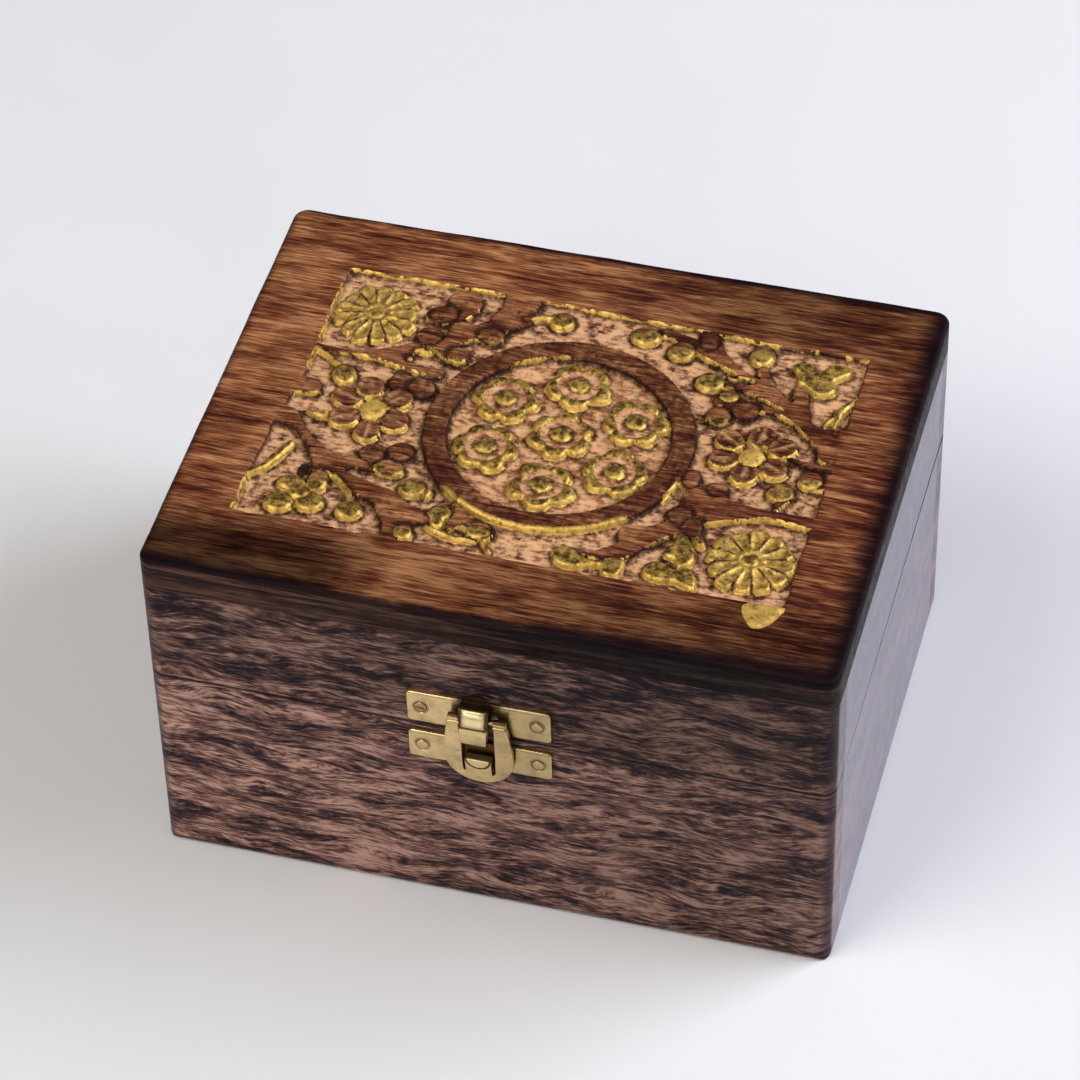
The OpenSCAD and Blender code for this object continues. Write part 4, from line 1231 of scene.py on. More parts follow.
def clasp_dirt_shade_and_highlight(s, place):
    """Dirt with painted contact shadow in the grooves round the pins, dirt round the screw, painted
    shade on the plates behind the hasp's ring, painted shadow with some tarnish round the hook, a
    darker line under the plates' top edges, painted shade on the hook's sides and crease, a
    painted dark reflection on its shelf, and a painted highlight on its bend and swell."""
    x, y, z = s.axes(place)
    off_middle = s.gap(x, CLASP_X)
    upper, lower = s.gap(z, UPPER_PIN_Z), s.gap(z, LOWER_PIN_Z)
    side, rise = s.less(off_middle, PIN_PITCH / 2), s.math("MINIMUM", upper, lower)
    away = s.math("SQRT", s.sum(s.times(side, side), s.times(rise, rise)))
    # Dirt and painted contact shadow in the grooves round the pins.
    ring = s.span(s.gap(away, 1.25), 0.3, 0.05, 0, 0.62)
    left = s.span(s.less(x, CLASP_X), -4, -6)
    screw = s.times(s.times(left, s.span(upper, 2.4, 1.2)), s.span(away, 2.6, 0.6, 0, 0.5))
    # Painted shade on the plates behind the hasp's ring.
    window = s.times(
        s.span(s.gap(x, HASP_X), 6, 2.4), s.span(z, UPPER_LOW + 3.4, UPPER_LOW + 1.2)
    )
    # Painted shadow, with some tarnish, on the plate round the hook.
    halo = s.times(
        s.span(off_middle, 6.2, 3.0), s.span(z, UPPER_LOW + 1, UPPER_TOP - 1.5, 0.2, 0.85)
    )
    outer = s.span(y, FRONT - PLATE_T - 0.35, FRONT - PLATE_T - 0.05)
    behind = s.times(s.most(window, halo), outer)
    # A darker line under each plate's top edge.
    for top in (UPPER_TOP, LOWER_TOP):
        under_rim = s.span(s.gap(z, top - 0.42), 0.2, 0.04, 0, 0.5)
        behind = s.most(behind, s.times(under_rim, outer))
    # Painted shade on the hook's sides and in its crease, and a painted dark reflection on its
    # shelf.
    centre = s.scaled(z, HOOK_LEAN, HOOK_X - UPPER_TOP * HOOK_LEAN)
    off = s.gap(x, centre)
    above = s.span(z, HOOK_CREASE - 0.1, HOOK_CREASE + 0.3)
    hook = s.most(
        s.times(s.span(off, 1.5, 2.7, 0, 1.1), above),
        s.span(s.gap(z, HOOK_CREASE), 0.6, 0.1, 0, 0.9),
    )
    shelf = s.times(s.span(z, UPPER_TOP - 0.32, UPPER_TOP - 0.05, 0, 0.9), s.span(off, 3.1, 2.8))
    in_front = s.times(s.span(outer, 1, 0), s.span(off, 3.6, 3.1))
    hook = s.times(s.most(hook, shelf), in_front)
    dirt_and_shade = s.most(s.most(ring, screw), s.most(behind, hook))
    # Painted highlight on the hook's bend and on its swell.
    bend = s.span(s.gap(z, UPPER_TOP - 0.9), 0.75, 0.2)
    swell = s.span(s.gap(z, HOOK_CREASE + 2.0), 1.5, 0.4, 0, 0.8)
    highlight_and_wear = s.times(s.most(bend, swell), s.span(off, 2.4, 1.2))
    return dirt_and_shade, s.times(highlight_and_wear, s.span(y, FRONT - 2.0, FRONT - 2.4))


def hasp_dirt_shade_and_highlight(s, place):
    """The ring's unpolished hidden side and the tongue's shelf, darkened further as painted shade,
    painted shade under the bar's rolls and painted shadow on their tops, dirt in the thumb mark,
    and the tongue's face, lighter inside the mark.
    """
    x, y, z = s.axes(place)
    lean = math.tan(HASP_LEAN)
    # The unpolished hidden side, darkened further as painted shade.
    hidden = s.sum(y, s.scaled(z, lean, BAR_OUT - FRONT - lean * BAR_Z))
    hidden = s.times(s.span(hidden, 0.05, 0.5), s.span(s.gap(x, HASP_X), 3.2, 2.9, 0.5, 1))
    # Painted shade under the bar's rolls and painted shadow on their tops.
    under_roll = s.span(s.gap(z, BAR_Z - 1.08), 0.22, 0.05, 0, 0.8)
    cap = s.span(z, BAR_Z + 0.15, BAR_Z + 0.5, 0, 0.85)
    # Dirt in the groove of the thumb mark.
    wide, high = THUMB_ARC
    u = s.scaled(x, wide, -wide * HASP_X)
    v = s.scaled(z, -high, high * THUMB_Z)
    bend = s.math("SQRT", s.sum(s.times(u, u), s.times(v, v)))
    mark = s.span(s.gap(bend, THUMB_R), 0.3, 0.1, 0, 0.95)
    face = s.span(y, FRONT - 2.38, FRONT - 2.45)
    mark = s.times(mark, face)
    dirt_and_shade = s.most(s.most(hidden, mark), s.most(under_roll, cap))
    # The tongue's face is lighter inside the thumb mark.
    return dirt_and_shade, s.times(s.times(face, s.span(bend, 3.2, 0.6)), 0.35)


# ---------------------------------------------------------------- metal shapes

HOOK_LOW, HOOK_HIGH = node_box("clasp_hook_plate")
CATCH_LOW, CATCH_HIGH = node_box("clasp_catch_plate")
HASP_LOW = node_box("hasp")[0]
PIN_LOW, PIN_HIGH = node_box("clasp_pins_lower")
SCREW_LOW, SCREW_HIGH = node_box("clasp_screw")
HASP_JOINT = next(j for j in frame["joints"] if j["name"] == "hasp_swing")
FRONT = -BOX_D / 2
CLASP_X = (CATCH_LOW[0] + CATCH_HIGH[0]) / 2
PLATE_W = CATCH_HIGH[0] - CATCH_LOW[0]
PLATE_T = FRONT - CATCH_LOW[1]
PLATE_R, PLATE_EDGE = 0.75, 0.24
UPPER_TOP, UPPER_LOW = HOOK_HIGH[2], SEAM_Z + 1.4
LOWER_TOP, LOWER_LOW = CATCH_HIGH[2], CATCH_LOW[2]
UPPER_TILT = math.radians(0.7)
PIN_R = 1.4
SEAT_R, GROOVE_R = 1.5, 1.52
PIN_PITCH = PIN_HIGH[0] - PIN_LOW[0] - 2 * PIN_R
UPPER_PIN_Z = (SCREW_LOW[2] + SCREW_HIGH[2]) / 2
LOWER_PIN_Z = (PIN_LOW[2] + PIN_HIGH[2]) / 2
SLOT_TURN = math.radians(-14)
BAR_Z = HASP_JOINT["pos_m"][2] / MM
BAR_OUT = FRONT - HASP_JOINT["pos_m"][1] / MM
HOOK_X, HOOK_OUT, HOOK_HALF = CLASP_X - 0.3, FRONT - HOOK_LOW[1], 2.88
HOOK_LEAN = 0.045  # sideways, as a share of its height
HOOK_BEND = 1.15
HOOK_CREASE = BAR_Z - 1.85
TAIL_BACK = 0.36  # how far the hook's tail stands behind its face
BAR_HOLE_R = 0.6
HASP_X, HASP_T, HASP_LEAN = CLASP_X + 0.1, 0.9, math.radians(2.6)
LEG_X = 4.27  # each leg's middle, from the hasp's middle
WINDOW_HALF = 3.1
TONGUE_HALF = 2.48
TONGUE_LOW, TONGUE_TOP = HASP_LOW[2] + 1.9, HASP_LOW[2] + 6.9
# The thumb mark is an arc of this radius about a middle above the tongue, squashed to an oval.
THUMB_R, THUMB_Z, THUMB_ARC = 2.3, HASP_LOW[2] + 7.1, (0.98, 0.82)


class Shape:
    """Points and faces gathered in millimetres before they become one piece."""

    def __init__(self):
        self.points, self.faces = [], []

    def add(self, part, move):
        """Adds a part's points, moved to their place, and its faces."""
        points, faces = part
        start = sum(len(p) for p in self.points)
        self.points.append(move(points))
        self.faces += [[int(v) + start for v in face] for face in faces]
        return self

    def dress(self, name, body, material, slot, node):
        piece = mesh_piece(name, np.vstack(self.points), self.faces)
        dress(piece, body, material, slot, node)


def offset_loop(loop, amount):
    """A closed loop moved inwards (to its left) by an amount."""
    before, after = np.roll(loop, 1, 0), np.roll(loop, -1, 0)
    first, second = loop - before, after - loop
    first = first / np.maximum(np.linalg.norm(first, axis=1), 1e-9)[:, None]
    second = second / np.maximum(np.linalg.norm(second, axis=1), 1e-9)[:, None]
    normal = np.stack([-first[:, 1] - second[:, 1], first[:, 0] + second[:, 0]], -1)
    length = np.maximum((normal**2).sum(1), 0.5)
    return loop + normal * (2 * amount / length)[:, None]


def counter_clockwise(loop):
    loop = np.asarray(loop, float)
    x, y = loop[:, 0], loop[:, 1]
    area = (x * np.roll(y, -1) - y * np.roll(x, -1)).sum()
    return loop if area > 0 else loop[::-1]


def stamped(outline, holes, thickness, edge, steps=4):
    """A stamped sheet: outline and holes in (u, v), with rounded front edges; w is its
    thickness."""
    loops, faces, caps = [], [], {"front": [], "back": []}
    profile = [(0.0, 0.0), (0.0, thickness - edge)]
    for k in range(1, steps + 1):
        a = math.pi / 2 * k / steps
        profile.append((edge * (1 - math.cos(a)), thickness - edge * (1 - math.sin(a))))
    start = 0
    for number, loop in enumerate([outline, *holes]):
        loop = counter_clockwise(loop)
        if number:
            loop = loop[::-1]
        count = len(loop)
        loops += [
            np.column_stack([offset_loop(loop, inset), np.full(count, w)]) for inset, w in profile
        ]
        for k in range(len(profile) - 1):
            faces += ring_faces(start + k * count, start + (k + 1) * count, count)
        caps["back"].append(start + np.arange(count))
        caps["front"].append(start + (len(profile) - 1) * count + np.arange(count))
        start += len(profile) * count
    points = np.vstack(loops)
    faces += filled(points, caps["front"])
    faces += [face[::-1] for face in filled(points, caps["back"])]
    return points, faces


def turned(profile, count=40):
    """A turned part from (radius, height) points, with its axis along w."""
    a = np.arange(count) * math.tau / count
    return tube([
        np.column_stack([r * np.cos(a), r * np.sin(a), np.full(count, h)]) for r, h in profile
    ])


def dome(radius, height, rows=7):
    """Profile points of a low dome."""
    return [
        (max(radius * math.cos(a), 0.02), height * math.sin(a))
        for a in np.radians(np.linspace(0, 89, rows))
    ]


def slotted_head(radius, height, slot, depth, tilt):
    """A round screw head whose slot is cut clean across it."""
    rows = np.concatenate([
        -radius * np.cos(np.linspace(0.12, 1.35, 8)), [-slot / 2 - 0.03, -slot / 2 + 0.02],
        [slot / 2 - 0.02, slot / 2 + 0.03], radius * np.cos(np.linspace(1.35, 0.12, 8)),
    ])
    across = np.sin(np.linspace(-math.pi / 2, math.pi / 2, 21))
    v = np.repeat(rows, len(across))
    u = np.tile(across, len(rows)) * np.sqrt(np.maximum(radius**2 - v**2, 0))
    r = np.hypot(u, v) / radius
    w = height * np.sqrt(np.maximum(1 - 0.96 * r**2, 0))
    w = np.where(np.abs(v) < slot / 2, np.minimum(w, height - depth), w)
    c, s = math.cos(tilt), math.sin(tilt)
    top = np.column_stack([u * c - v * s, u * s + v * c, w])
    foot = top.copy()
    foot[:, 2] = -0.05
    return two_sided(np.arange(len(v)).reshape(len(rows), len(across)).T, top, foot)


def two_sided(grid, first, second):
    """A sheet with a grid of points on each side, closed round its rim."""
    quads, rim, count = grid_quads(grid), grid_rim(grid), grid.size
    after = np.roll(rim, -1)
    faces = quads.tolist() + (quads[:, ::-1] + count).tolist()
    faces += np.stack([rim, rim + count, after + count, after], -1).tolist()
    return np.vstack([first, second]), faces


def swept(profile, half_width, edge=0.16):
    """A closed (out, z) profile swept across u, with rounded side edges."""
    profile = counter_clockwise(profile)
    side = half_width - edge
    stations = [(-half_width, edge), (edge * 0.3 - half_width, edge * 0.3), (-side, 0)]
    stations += [(u, 0.0) for u in np.linspace(-side, side, 15)[1:-1]]
    stations += [(-u, inset) for u, inset in stations[2::-1]]
    return tube([
        np.column_stack([np.full(len(profile), u), offset_loop(profile, inset)])
        for u, inset in stations
    ])


def arc_points(cx, cy, r, start, end, count):
    a = np.radians(np.linspace(start, end, count))
    return np.column_stack([cx + r * np.cos(a), cy + r * np.sin(a)])


def soft_rectangle(width, height, radius, steps=5):
    """Outline of a rectangle with round corners, centred."""
    w, h = width / 2 - radius, height / 2 - radius
    corners = [(w, -h, -90), (w, h, 0), (-w, h, 90), (-w, -h, 180)]
    return np.vstack([arc_points(x, y, radius, a, a + 90, steps) for x, y, a in corners])


def on_front(x, z, tilt=0.0, raised=0.0):
    """Moves (u, v, w) points to the box's front, with u = v = 0 at (x, z)."""
    c, s = math.cos(tilt), math.sin(tilt)

    def move(points):
        u, v, w = points.T
        return np.column_stack([x + u * c - v * s, FRONT - w - raised, z + u * s + v * c])

    return move


def across_front(x, lean=0.0):
    """Moves (u, out, z) points in front of the box; lean skews the part sideways going down."""

    def move(points):
        u, out, z = points.T
        return np.column_stack([x + u + (z - UPPER_TOP) * lean, FRONT - out, z])

    return move


def along_bar(x=0.0, out=0.0, rise=0.0):
    """Moves a turned part to lie along the hasp's bar, or beside it."""

    def move(points):
        u, v, w = points.T
        return np.column_stack([HASP_X + x + w, FRONT - BAR_OUT - out - u, BAR_Z + rise + v])

    return move


def plate_shape(height, longest=1.2):
    """A clasp plate with a seat for each pin."""
    outline = soft_rectangle(PLATE_W, height, PLATE_R)
    fine = []
    for a, b in zip(outline, np.roll(outline, -1, 0)):
        parts = max(1, int(np.hypot(*(b - a)) / longest))
        fine += [a + (b - a) * t for t in np.linspace(0, 1, parts, endpoint=False)]
    holes = [arc_points(side * PIN_PITCH / 2, 0, SEAT_R, 0, 350, 36) for side in (-1, 1)]
    return stamped(np.array(fine), holes, PLATE_T, PLATE_EDGE)


def riveted_pin():
    """Shallow dome in a dark groove."""
    profile = [(GROOVE_R, 0.1)]
    profile += [(r, PLATE_T + h) for r, h in (
        (GROOVE_R, -0.05), (1.4, -0.04), (1.28, -0.08), (1.16, -0.08), (1.12, 0.03)
    )]
    profile += [(r, PLATE_T + 0.02 + h) for r, h in dome(1.1, 0.22)]
    return turned(profile)


def screw_seat():
    """The sunk ring that the slotted screw sits in."""
    profile = [(GROOVE_R, 0.1)]
    profile += [(r, PLATE_T + h) for r, h in (
        (GROOVE_R, -0.08), (1.35, -0.05), (1.22, -0.25), (0.9, -0.25), (0.02, -0.25)
    )]
    return turned(profile)


def hook_profile():
    """Outer face of the hook from the plate's top edge to the tail, then back inside."""
    t, bend, crease = PLATE_T, HOOK_BEND, HOOK_CREASE
    top, face, tail_z = UPPER_TOP, HOOK_OUT, HOOK_LOW[2]
    back = face - TAIL_BACK - t
    return np.vstack([
        [(0.25, top)], arc_points(face - bend, top - bend, bend, 90, 0, 9),
        [(face - 0.16, top - 1.7), (face - 0.06, top - 2.4), (face, top - 3.1),
         (face - 0.03, crease + 1.1), (face - 0.14, crease + 0.6), (face - 0.32, crease + 0.2),
         (face - 0.5, crease - 0.06), (face - 0.48, crease - 0.2), (face - TAIL_BACK, crease - 0.4),
         (face - TAIL_BACK, tail_z + 0.12), (face - 0.44, tail_z)],
        [(back + 0.08, tail_z), (back, tail_z + 0.1), (back, crease - 0.5)],
        arc_points(BAR_OUT, BAR_Z, BAR_HOLE_R + t * 0.8, -60, -180, 7),
        [(BAR_OUT - BAR_HOLE_R - 0.02, BAR_Z + 0.1)],
        arc_points(BAR_OUT, BAR_Z, BAR_HOLE_R, 180, 360, 11),
        [(face - t, BAR_Z + 0.5), (face - t, top - bend)],
        arc_points(face - bend, top - bend, bend - t, 0, 90, 5), [(0.25, top - t)],
    ])


def hook_shape():
    """The hook: a bent strip with a bowed face and a narrow tail."""
    points, faces = swept(hook_profile(), HOOK_HALF)
    u, out, z = points.T
    crease = HOOK_CREASE
    u *= 1 - 0.11 * smooth(z, crease + 0.35, crease - 0.1)
    pillow = smooth(z, crease, crease + 0.7) * smooth(z, UPPER_TOP + 0.4, UPPER_TOP - 1.2)
    front = smooth(out, HOOK_OUT - 0.5, HOOK_OUT - 0.2)
    bow = smooth(np.abs(u), 1.0, 2.9)
    out -= 0.42 * bow * pillow * front
    return np.column_stack([u, out, z]), faces


def hasp_outline():
    """The horseshoe, from its round lower end up one leg, round the window and down the other;
    v is 0 at the bar."""
    top_r, ring_r, length = 5.4, 6.62, BAR_Z - HASP_LOW[2]
    middle = ring_r - length
    mirror = np.array([-1, 1])
    right = np.array([
        (ring_r - 0.02, middle + 1.5), (ring_r - 0.25, middle + 4), (ring_r - 0.62, middle + 7),
        (top_r + 0.05, -0.5), (top_r, 0),
    ])
    inner = np.vstack([
        [(WINDOW_HALF + 0.05, 0), (WINDOW_HALF + 0.02, middle + 6), (WINDOW_HALF, middle),
         (WINDOW_HALF - 0.02, 3.1 - length)],
        arc_points(2.3, 3.15 - length, 0.75, 0, -90, 5),
    ])
    return np.vstack([
        arc_points(0, middle, ring_r, -180, 0, 49), right, inner, inner[::-1] * mirror,
        right[::-1] * mirror,
    ])


def hang(points):
    """Hangs the flat horseshoe from its bar, leaning in at the bottom."""
    u, v, w = points.T
    c, s = math.cos(HASP_LEAN), math.sin(HASP_LEAN)
    w = w - HASP_T / 2
    out = BAR_OUT + w * c + v * s
    return np.column_stack([HASP_X + u, FRONT - out, BAR_Z + v * c - w * s])


def hasp_shape():
    """The ring with its two legs rolled round the bar, and the thumb tongue in its window."""
    shape = Shape().add(stamped(hasp_outline(), [], HASP_T, 0.2), hang)
    roll = [(0.3, -1.16), (0.62, -1.13), (0.72, -1.0), (0.72, 1.0), (0.62, 1.13), (0.3, 1.16)]
    rolled_end = [(0.2, -1.1), (0.28, -1.05), (0.28, 1.05), (0.2, 1.1)]
    for x in (-LEG_X, LEG_X):
        shape.add(turned(roll, 28), along_bar(x, 0.02))
        shape.add(turned(rolled_end, 16), along_bar(x, 0.6, -0.74))
    shape.add(turned([(0.4, -4), (0.5, -3.9), (0.5, 3.9), (0.4, 4)], 24), along_bar())
    return shape.add(tongue(), across_front(HASP_X))


def tongue():
    """A wedge that stands proud of the ring at its top, with a shelf running back and a
    thumb mark on its face."""
    half, height = TONGUE_HALF, TONGUE_TOP - TONGUE_LOW
    reach_top, slope = FRONT - HASP_LOW[1], 0.72
    u, v = np.meshgrid(np.linspace(-1, 1, 52), np.linspace(0, 1, 50), indexing="ij")
    z = TONGUE_LOW + height * v
    bend = np.hypot(u * half * THUMB_ARC[0], (THUMB_Z - z) * THUMB_ARC[1])
    groove = 0.14 * smooth(np.abs(bend - THUMB_R), 0.3, 0.05)
    frame_line = 0.07 * smooth(np.abs(u * half + half - 0.28), 0.16, 0.04)
    frame_line += 0.07 * smooth(np.abs(v * height - 0.3), 0.16, 0.04)
    rounding = 0.16 * (smooth(np.abs(u), 0.93, 1) + smooth(v, 0.95, 1) * 0.8)
    out = reach_top - slope + slope * v - groove - frame_line - rounding
    face = np.column_stack([(u * half).ravel(), out.ravel(), z.ravel()])
    grid = np.arange(u.size).reshape(u.shape)
    rim = grid_rim(grid)
    back = face[rim].copy()
    is_shelf = back[:, 2] > TONGUE_LOW + 0.82 * height
    back[:, 1] = np.where(is_shelf, 1.07, reach_top - slope - 0.75)
    base = len(face) + np.arange(len(rim))
    faces = grid_quads(grid).tolist()
    faces += np.stack([rim, base, np.roll(base, -1), np.roll(rim, -1)], -1).tolist()
    faces.append(base[::-1].tolist())
    return np.vstack([face, back]), faces


def lining_shape(name, seed):
    """A felt sheet with soft edges and a slight swell, over the solid of that name."""
    low, high = node_box(name)
    up = name == "base_lining"
    u, v = np.meshgrid(np.linspace(0, 1, 72), np.linspace(0, 1, 56), indexing="ij")
    x, y = low[0] + (high[0] - low[0]) * u, low[1] + (high[1] - low[1]) * v
    edge = np.minimum(np.minimum(x - low[0], high[0] - x), np.minimum(y - low[1], high[1] - y))
    swell = 0.12 * lattice_noise(x + 70, y + 60, 17, seed)
    swell += 0.05 * lattice_noise(x + 70, y + 60, 6, seed)
    free = high[2] - low[2] - 0.15 + swell - 0.35 * np.exp(-edge / 0.6)
    face = low[2] + free if up else high[2] - free
    glued = np.full_like(x, low[2] if up else high[2])
    sides = [
        np.column_stack([x.ravel(), y.ravel(), h.ravel()])
        for h in ((face, glued) if up else (glued, face))
    ]
    return two_sided(np.arange(x.size).reshape(x.shape), *sides)


# ---------------------------------------------------------------- stage

AIM = (0, -11, 32.5)  # the camera's aim, in millimetres
CAMERA_DISTANCE = 881.9
FRAMING = (-0.59, 18.43)  # how far the view is moved right and up
FLOOR_HALF = 6000
LIT_SPOT = Vector((0, 0, 0.03))  # in metres, where the lights point


def heading(azimuth, elevation):
    """Direction from the box to a place round it."""
    flat = math.cos(elevation)
    return Vector((math.sin(azimuth) * flat, -math.cos(azimuth) * flat, math.sin(elevation)))


def place_camera(settings):
    back = heading(settings.azimuth, settings.elevation)
    right = (-back).cross(Vector((0, 0, 1))).normalized()
    up = right.cross(-back)
    c, s = math.cos(settings.roll), math.sin(settings.roll)
    right, up = c * right + s * up, c * up - s * right
    data = bpy.data.cameras.new("camera")
    data.sensor_width = 36
    data.lens = settings.lens
    data.clip_start, data.clip_end = 0.01, 50
    camera = bpy.data.objects.new("camera", data)
    bpy.context.scene.collection.objects.link(camera)
    spot = Vector(AIM) + back * CAMERA_DISTANCE + right * FRAMING[0] + up * FRAMING[1]
    turn = Matrix((right, up, back)).transposed().to_4x4()
    camera.matrix_world = Matrix.Translation(spot * MM) @ turn
    bpy.context.scene.camera = camera


def soft_light(name, azimuth, elevation, distance, size, power, colour):
    """A square soft light that points at the box; distance and size are in metres."""
    data = bpy.data.lights.new(name, "AREA")
    data.shape, data.size, data.energy, data.color = "SQUARE", size, power, colour
    light = bpy.data.objects.new(name, data)
    bpy.context.scene.collection.objects.link(light)
    spot = heading(math.radians(azimuth), math.radians(elevation)) * distance
    light.location = spot
    light.rotation_euler = (LIT_SPOT - spot).to_track_quat("-Z", "Y").to_euler()


def studio_world():
    """Even room light, dimmer behind the box."""
    world = bpy.data.worlds.new("studio")
    bpy.context.scene.world = world
    world.use_nodes = True
    tree = world.node_tree
    tree.nodes.clear()
    output, light, where, split, fade = (
        tree.nodes.new(f"ShaderNode{kind}")
        for kind in ("OutputWorld", "Background", "TexCoord", "SeparateXYZ", "MapRange")
    )
    fade.interpolation_type = "SMOOTHSTEP"
    for socket, value in zip(fade.inputs[1:5], (-0.5, 0.5, 0.5, 0.05)):
        socket.default_value = value
    light.inputs[0].default_value = (1, 0.985, 0.97, 1)
    for source, target in (
        (where.outputs["Generated"], split.inputs[0]), (split.outputs[1], fade.inputs[0]),
        (fade.outputs[0], light.inputs[1]), (light.outputs[0], output.inputs[0]),
    ):
        tree.links.new(source, target)


def floor_material(settings):
    s = Shading("pale_floor")
    tint = settings.floor
    colour = s.ramp(s.noise(s.place(), 60), (0.3, shaded(tint, 0.97)), (0.7, tint))
    return s.finish(Base_Color=colour, Roughness=0.6)


# ---------------------------------------------------------------- operators


def settings_of(context):
    return context.scene.jewelry_box


class BOX_OT_carved_top(bpy.types.Operator):
    """Carve the lid's top board: foliage, medallion and gilding"""

    bl_idname = "jewelry_box.carved_top"
    bl_label = "Carved top"

    def execute(self, context):
        carving = settings_of(context).carving
        points, faces, paint = carved_board(
            carving.depth / MM, carving.grid / MM, carving.top_edge / MM, carving.corner / MM
        )
        piece = mesh_piece("carved_top", points, faces, 180)
        layer = piece.data.color_attributes.new("carving", "FLOAT_COLOR", "POINT")
        layer.data.foreach_set("color", paint.astype(np.float32).ravel())
        dress(piece, "lid", top_material(carving), "carved_top", "lid_top")
        return {"FINISHED"}


class BOX_OT_walls(bpy.types.Operator):
    """Give the walls and the floor board their wood"""

    bl_idname = "jewelry_box.walls"
    bl_label = "Walls"

    def execute(self, context):
        wood = settings_of(context).wood
        long = wall_material("wall_wood_long", wood, 0)
        short = wall_material("wall_wood_short", wood, 1)
        finish_node("floor_board", inside_material(wood))
        for half in ("base", "lid"):
            for side, material in (
                ("front", long), ("back", long), ("left", short), ("right", short)
            ):
                finish_node(f"{half}_{side}", material)
        return {"FINISHED"}


class BOX_OT_linings(bpy.types.Operator):
    """Lay the felt in the base and the lid"""

    bl_idname = "jewelry_box.linings"
    bl_label = "Linings"

    def execute(self, context):
        felt = felt_material(settings_of(context).wood)
        for seed, node, body, under in (
            (41, "base_lining", "base", "floor_board"), (42, "lid_lining", "lid", "carved_top")
        ):
            piece = mesh_piece(f"felt_{node}", *lining_shape(node, seed), 60)
            dress(piece, body, felt, "felt", node)
            low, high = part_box(node)
        return {"FINISHED"}


class BOX_OT_hinges(bpy.types.Operator):
    """Give the butt hinges and their screws their brass"""

    bl_idname = "jewelry_box.hinges"
    bl_label = "Hinges"

    def execute(self, context):
        brass = settings_of(context).brass
        leaf = brass_material("hinge_brass", brass.hinge, brass.tarnish, rough=0.34, dirt=0.6)
        screw = brass_material("screw_brass", shaded(brass.hinge, 0.9), brass.tarnish, rough=0.4)
        for name in NODES:
            if name.startswith("hinge"):
                finish_node(name, screw if name.startswith("hinge_screws") else leaf)
        return {"FINISHED"}


class BOX_OT_clasp(bpy.types.Operator):
    """Build the clasp: plates, hook, pins and the slotted screw"""

    bl_idname = "jewelry_box.clasp"
    bl_label = "Clasp"

    def execute(self, context):
        brass = settings_of(context).brass
        sheet = brass_material(
            "clasp_brass", brass.clasp, brass.tarnish, rough=0.24, dirt=0.45, dirt_shade_and_highlight=clasp_dirt_shade_and_highlight
        )
        pins = brass_material(
            "pin_brass", shaded(brass.clasp, 0.92), brass.tarnish, rough=0.28, dirt_shade_and_highlight=clasp_dirt_shade_and_highlight
        )
        upper = Shape().add(
            plate_shape(UPPER_TOP - UPPER_LOW),
            on_front(CLASP_X, (UPPER_TOP + UPPER_LOW) / 2, UPPER_TILT),
        )
        upper.add(hook_shape(), across_front(HOOK_X, HOOK_LEAN))
        upper.dress("hook_plate", "lid", sheet, "brass", "clasp_hook_plate")
        lower = Shape().add(
            plate_shape(LOWER_TOP - LOWER_LOW), on_front(CLASP_X, (LOWER_TOP + LOWER_LOW) / 2)
        )
        lower.dress("catch_plate", "base", sheet, "brass", "clasp_catch_plate")
        left, right = CLASP_X - PIN_PITCH / 2, CLASP_X + PIN_PITCH / 2
        pair = Shape()
        for x in (left, right):
            pair.add(riveted_pin(), on_front(x, LOWER_PIN_Z))
        pair.dress("lower_pins", "base", pins, "brass", "clasp_pins_lower")
        single = Shape().add(riveted_pin(), on_front(right, UPPER_PIN_Z, UPPER_TILT))
        single.dress("upper_pin", "lid", pins, "brass", "clasp_pin_upper")
        head = slotted_head(radius=1.2, height=0.42, slot=0.34, depth=0.28, tilt=SLOT_TURN)
        screw = Shape().add(head, on_front(left, UPPER_PIN_Z, raised=PLATE_T - 0.12))
        screw.add(screw_seat(), on_front(left, UPPER_PIN_Z))
        screw.dress("slotted_screw", "lid", pins, "steel_screws", "clasp_screw")
        return {"FINISHED"}


class BOX_OT_hasp(bpy.types.Operator):
    """Build the swinging hasp with its thumb tongue"""

    bl_idname = "jewelry_box.hasp"
    bl_label = "Hasp"

    def execute(self, context):
        brass = settings_of(context).brass
        sheet = brass_material(
            "hasp_brass", brass.clasp, brass.tarnish, rough=0.26, dirt=0.4, dirt_shade_and_highlight=hasp_dirt_shade_and_highlight
        )
        hasp_shape().dress("swing_hasp", "hasp", sheet, "brass", "hasp")
        return {"FINISHED"}


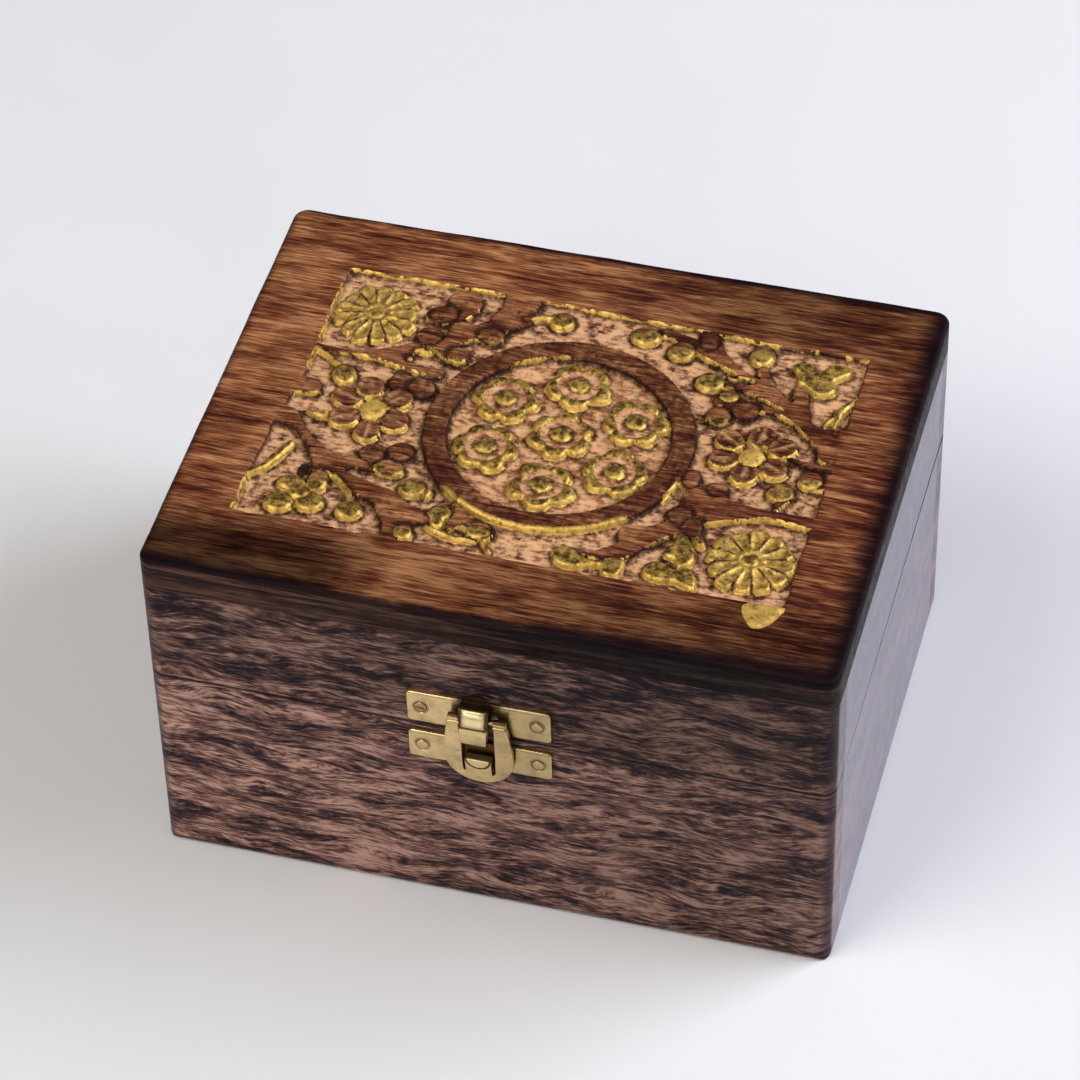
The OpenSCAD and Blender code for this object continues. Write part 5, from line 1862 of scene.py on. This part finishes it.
class BOX_OT_stage(bpy.types.Operator):
    """Set the floor, the light and the camera"""

    bl_idname = "jewelry_box.stage"
    bl_label = "Stage"

    def execute(self, context):
        stage = settings_of(context).stage
        corners = [(-1, -1), (1, -1), (1, 1), (-1, 1)]
        floor = mesh_piece(
            "floor", [(x * FLOOR_HALF, y * FLOOR_HALF, 0) for x, y in corners], [(0, 1, 2, 3)]
        )
        floor.data.materials.append(floor_material(stage))
        floor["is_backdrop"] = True
        studio_world()
        for name, azimuth, elevation, distance, size, power, colour in (
            ("key", -42, 52, 1.6, 0.9, stage.key_power, (1, 0.985, 0.96)),
            ("low", -19, 7, 1.6, 0.35, 0.14 * stage.key_power, (1, 1, 1)),
            ("side", 112, 38, 1.3, 0.9, stage.side_power, (0.9, 0.95, 1.12)),
        ):
            soft_light(name, azimuth, elevation, distance, size, power, colour)
        place_camera(stage)
        context.scene.view_settings.view_transform = "Standard"
        return {"FINISHED"}


class BOX_PT_panel(bpy.types.Panel):
    """Sizes, colours and steps of the jewelry box"""

    bl_idname = "BOX_PT_panel"
    bl_label = "Jewelry box"
    bl_space_type = "VIEW_3D"
    bl_region_type = "UI"
    bl_category = "Jewelry box"

    def draw(self, context):
        groups = settings_of(context)
        for group in (groups.carving, groups.wood, groups.brass, groups.stage):
            column = self.layout.column(align=True)
            for name in group.__annotations__:
                column.prop(group, name)
        for step in STEPS:
            self.layout.operator(step.bl_idname)


STEPS = (
    BOX_OT_stage, BOX_OT_carved_top, BOX_OT_walls, BOX_OT_linings, BOX_OT_hinges, BOX_OT_clasp,
    BOX_OT_hasp,
)
CLASSES = (
    CarvingSettings, WoodSettings, BrassSettings, StageSettings, BoxSettings, *STEPS, BOX_PT_panel,
)


def register():
    for kind in CLASSES:
        bpy.utils.register_class(kind)
    bpy.types.Scene.jewelry_box = PointerProperty(type=BoxSettings)


def unregister():
    del bpy.types.Scene.jewelry_box
    for kind in reversed(CLASSES):
        bpy.utils.unregister_class(kind)


def plain(box):
    return [[float(v) for v in corner] for corner in box]


def main():
    register()
    for step in STEPS:
        group, name = step.bl_idname.split(".")
        getattr(getattr(bpy.ops, group), name)()
    {"cad": plain(CAD_BOX), "visual": plain(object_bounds())}


if __name__ == "__main__":
    main()
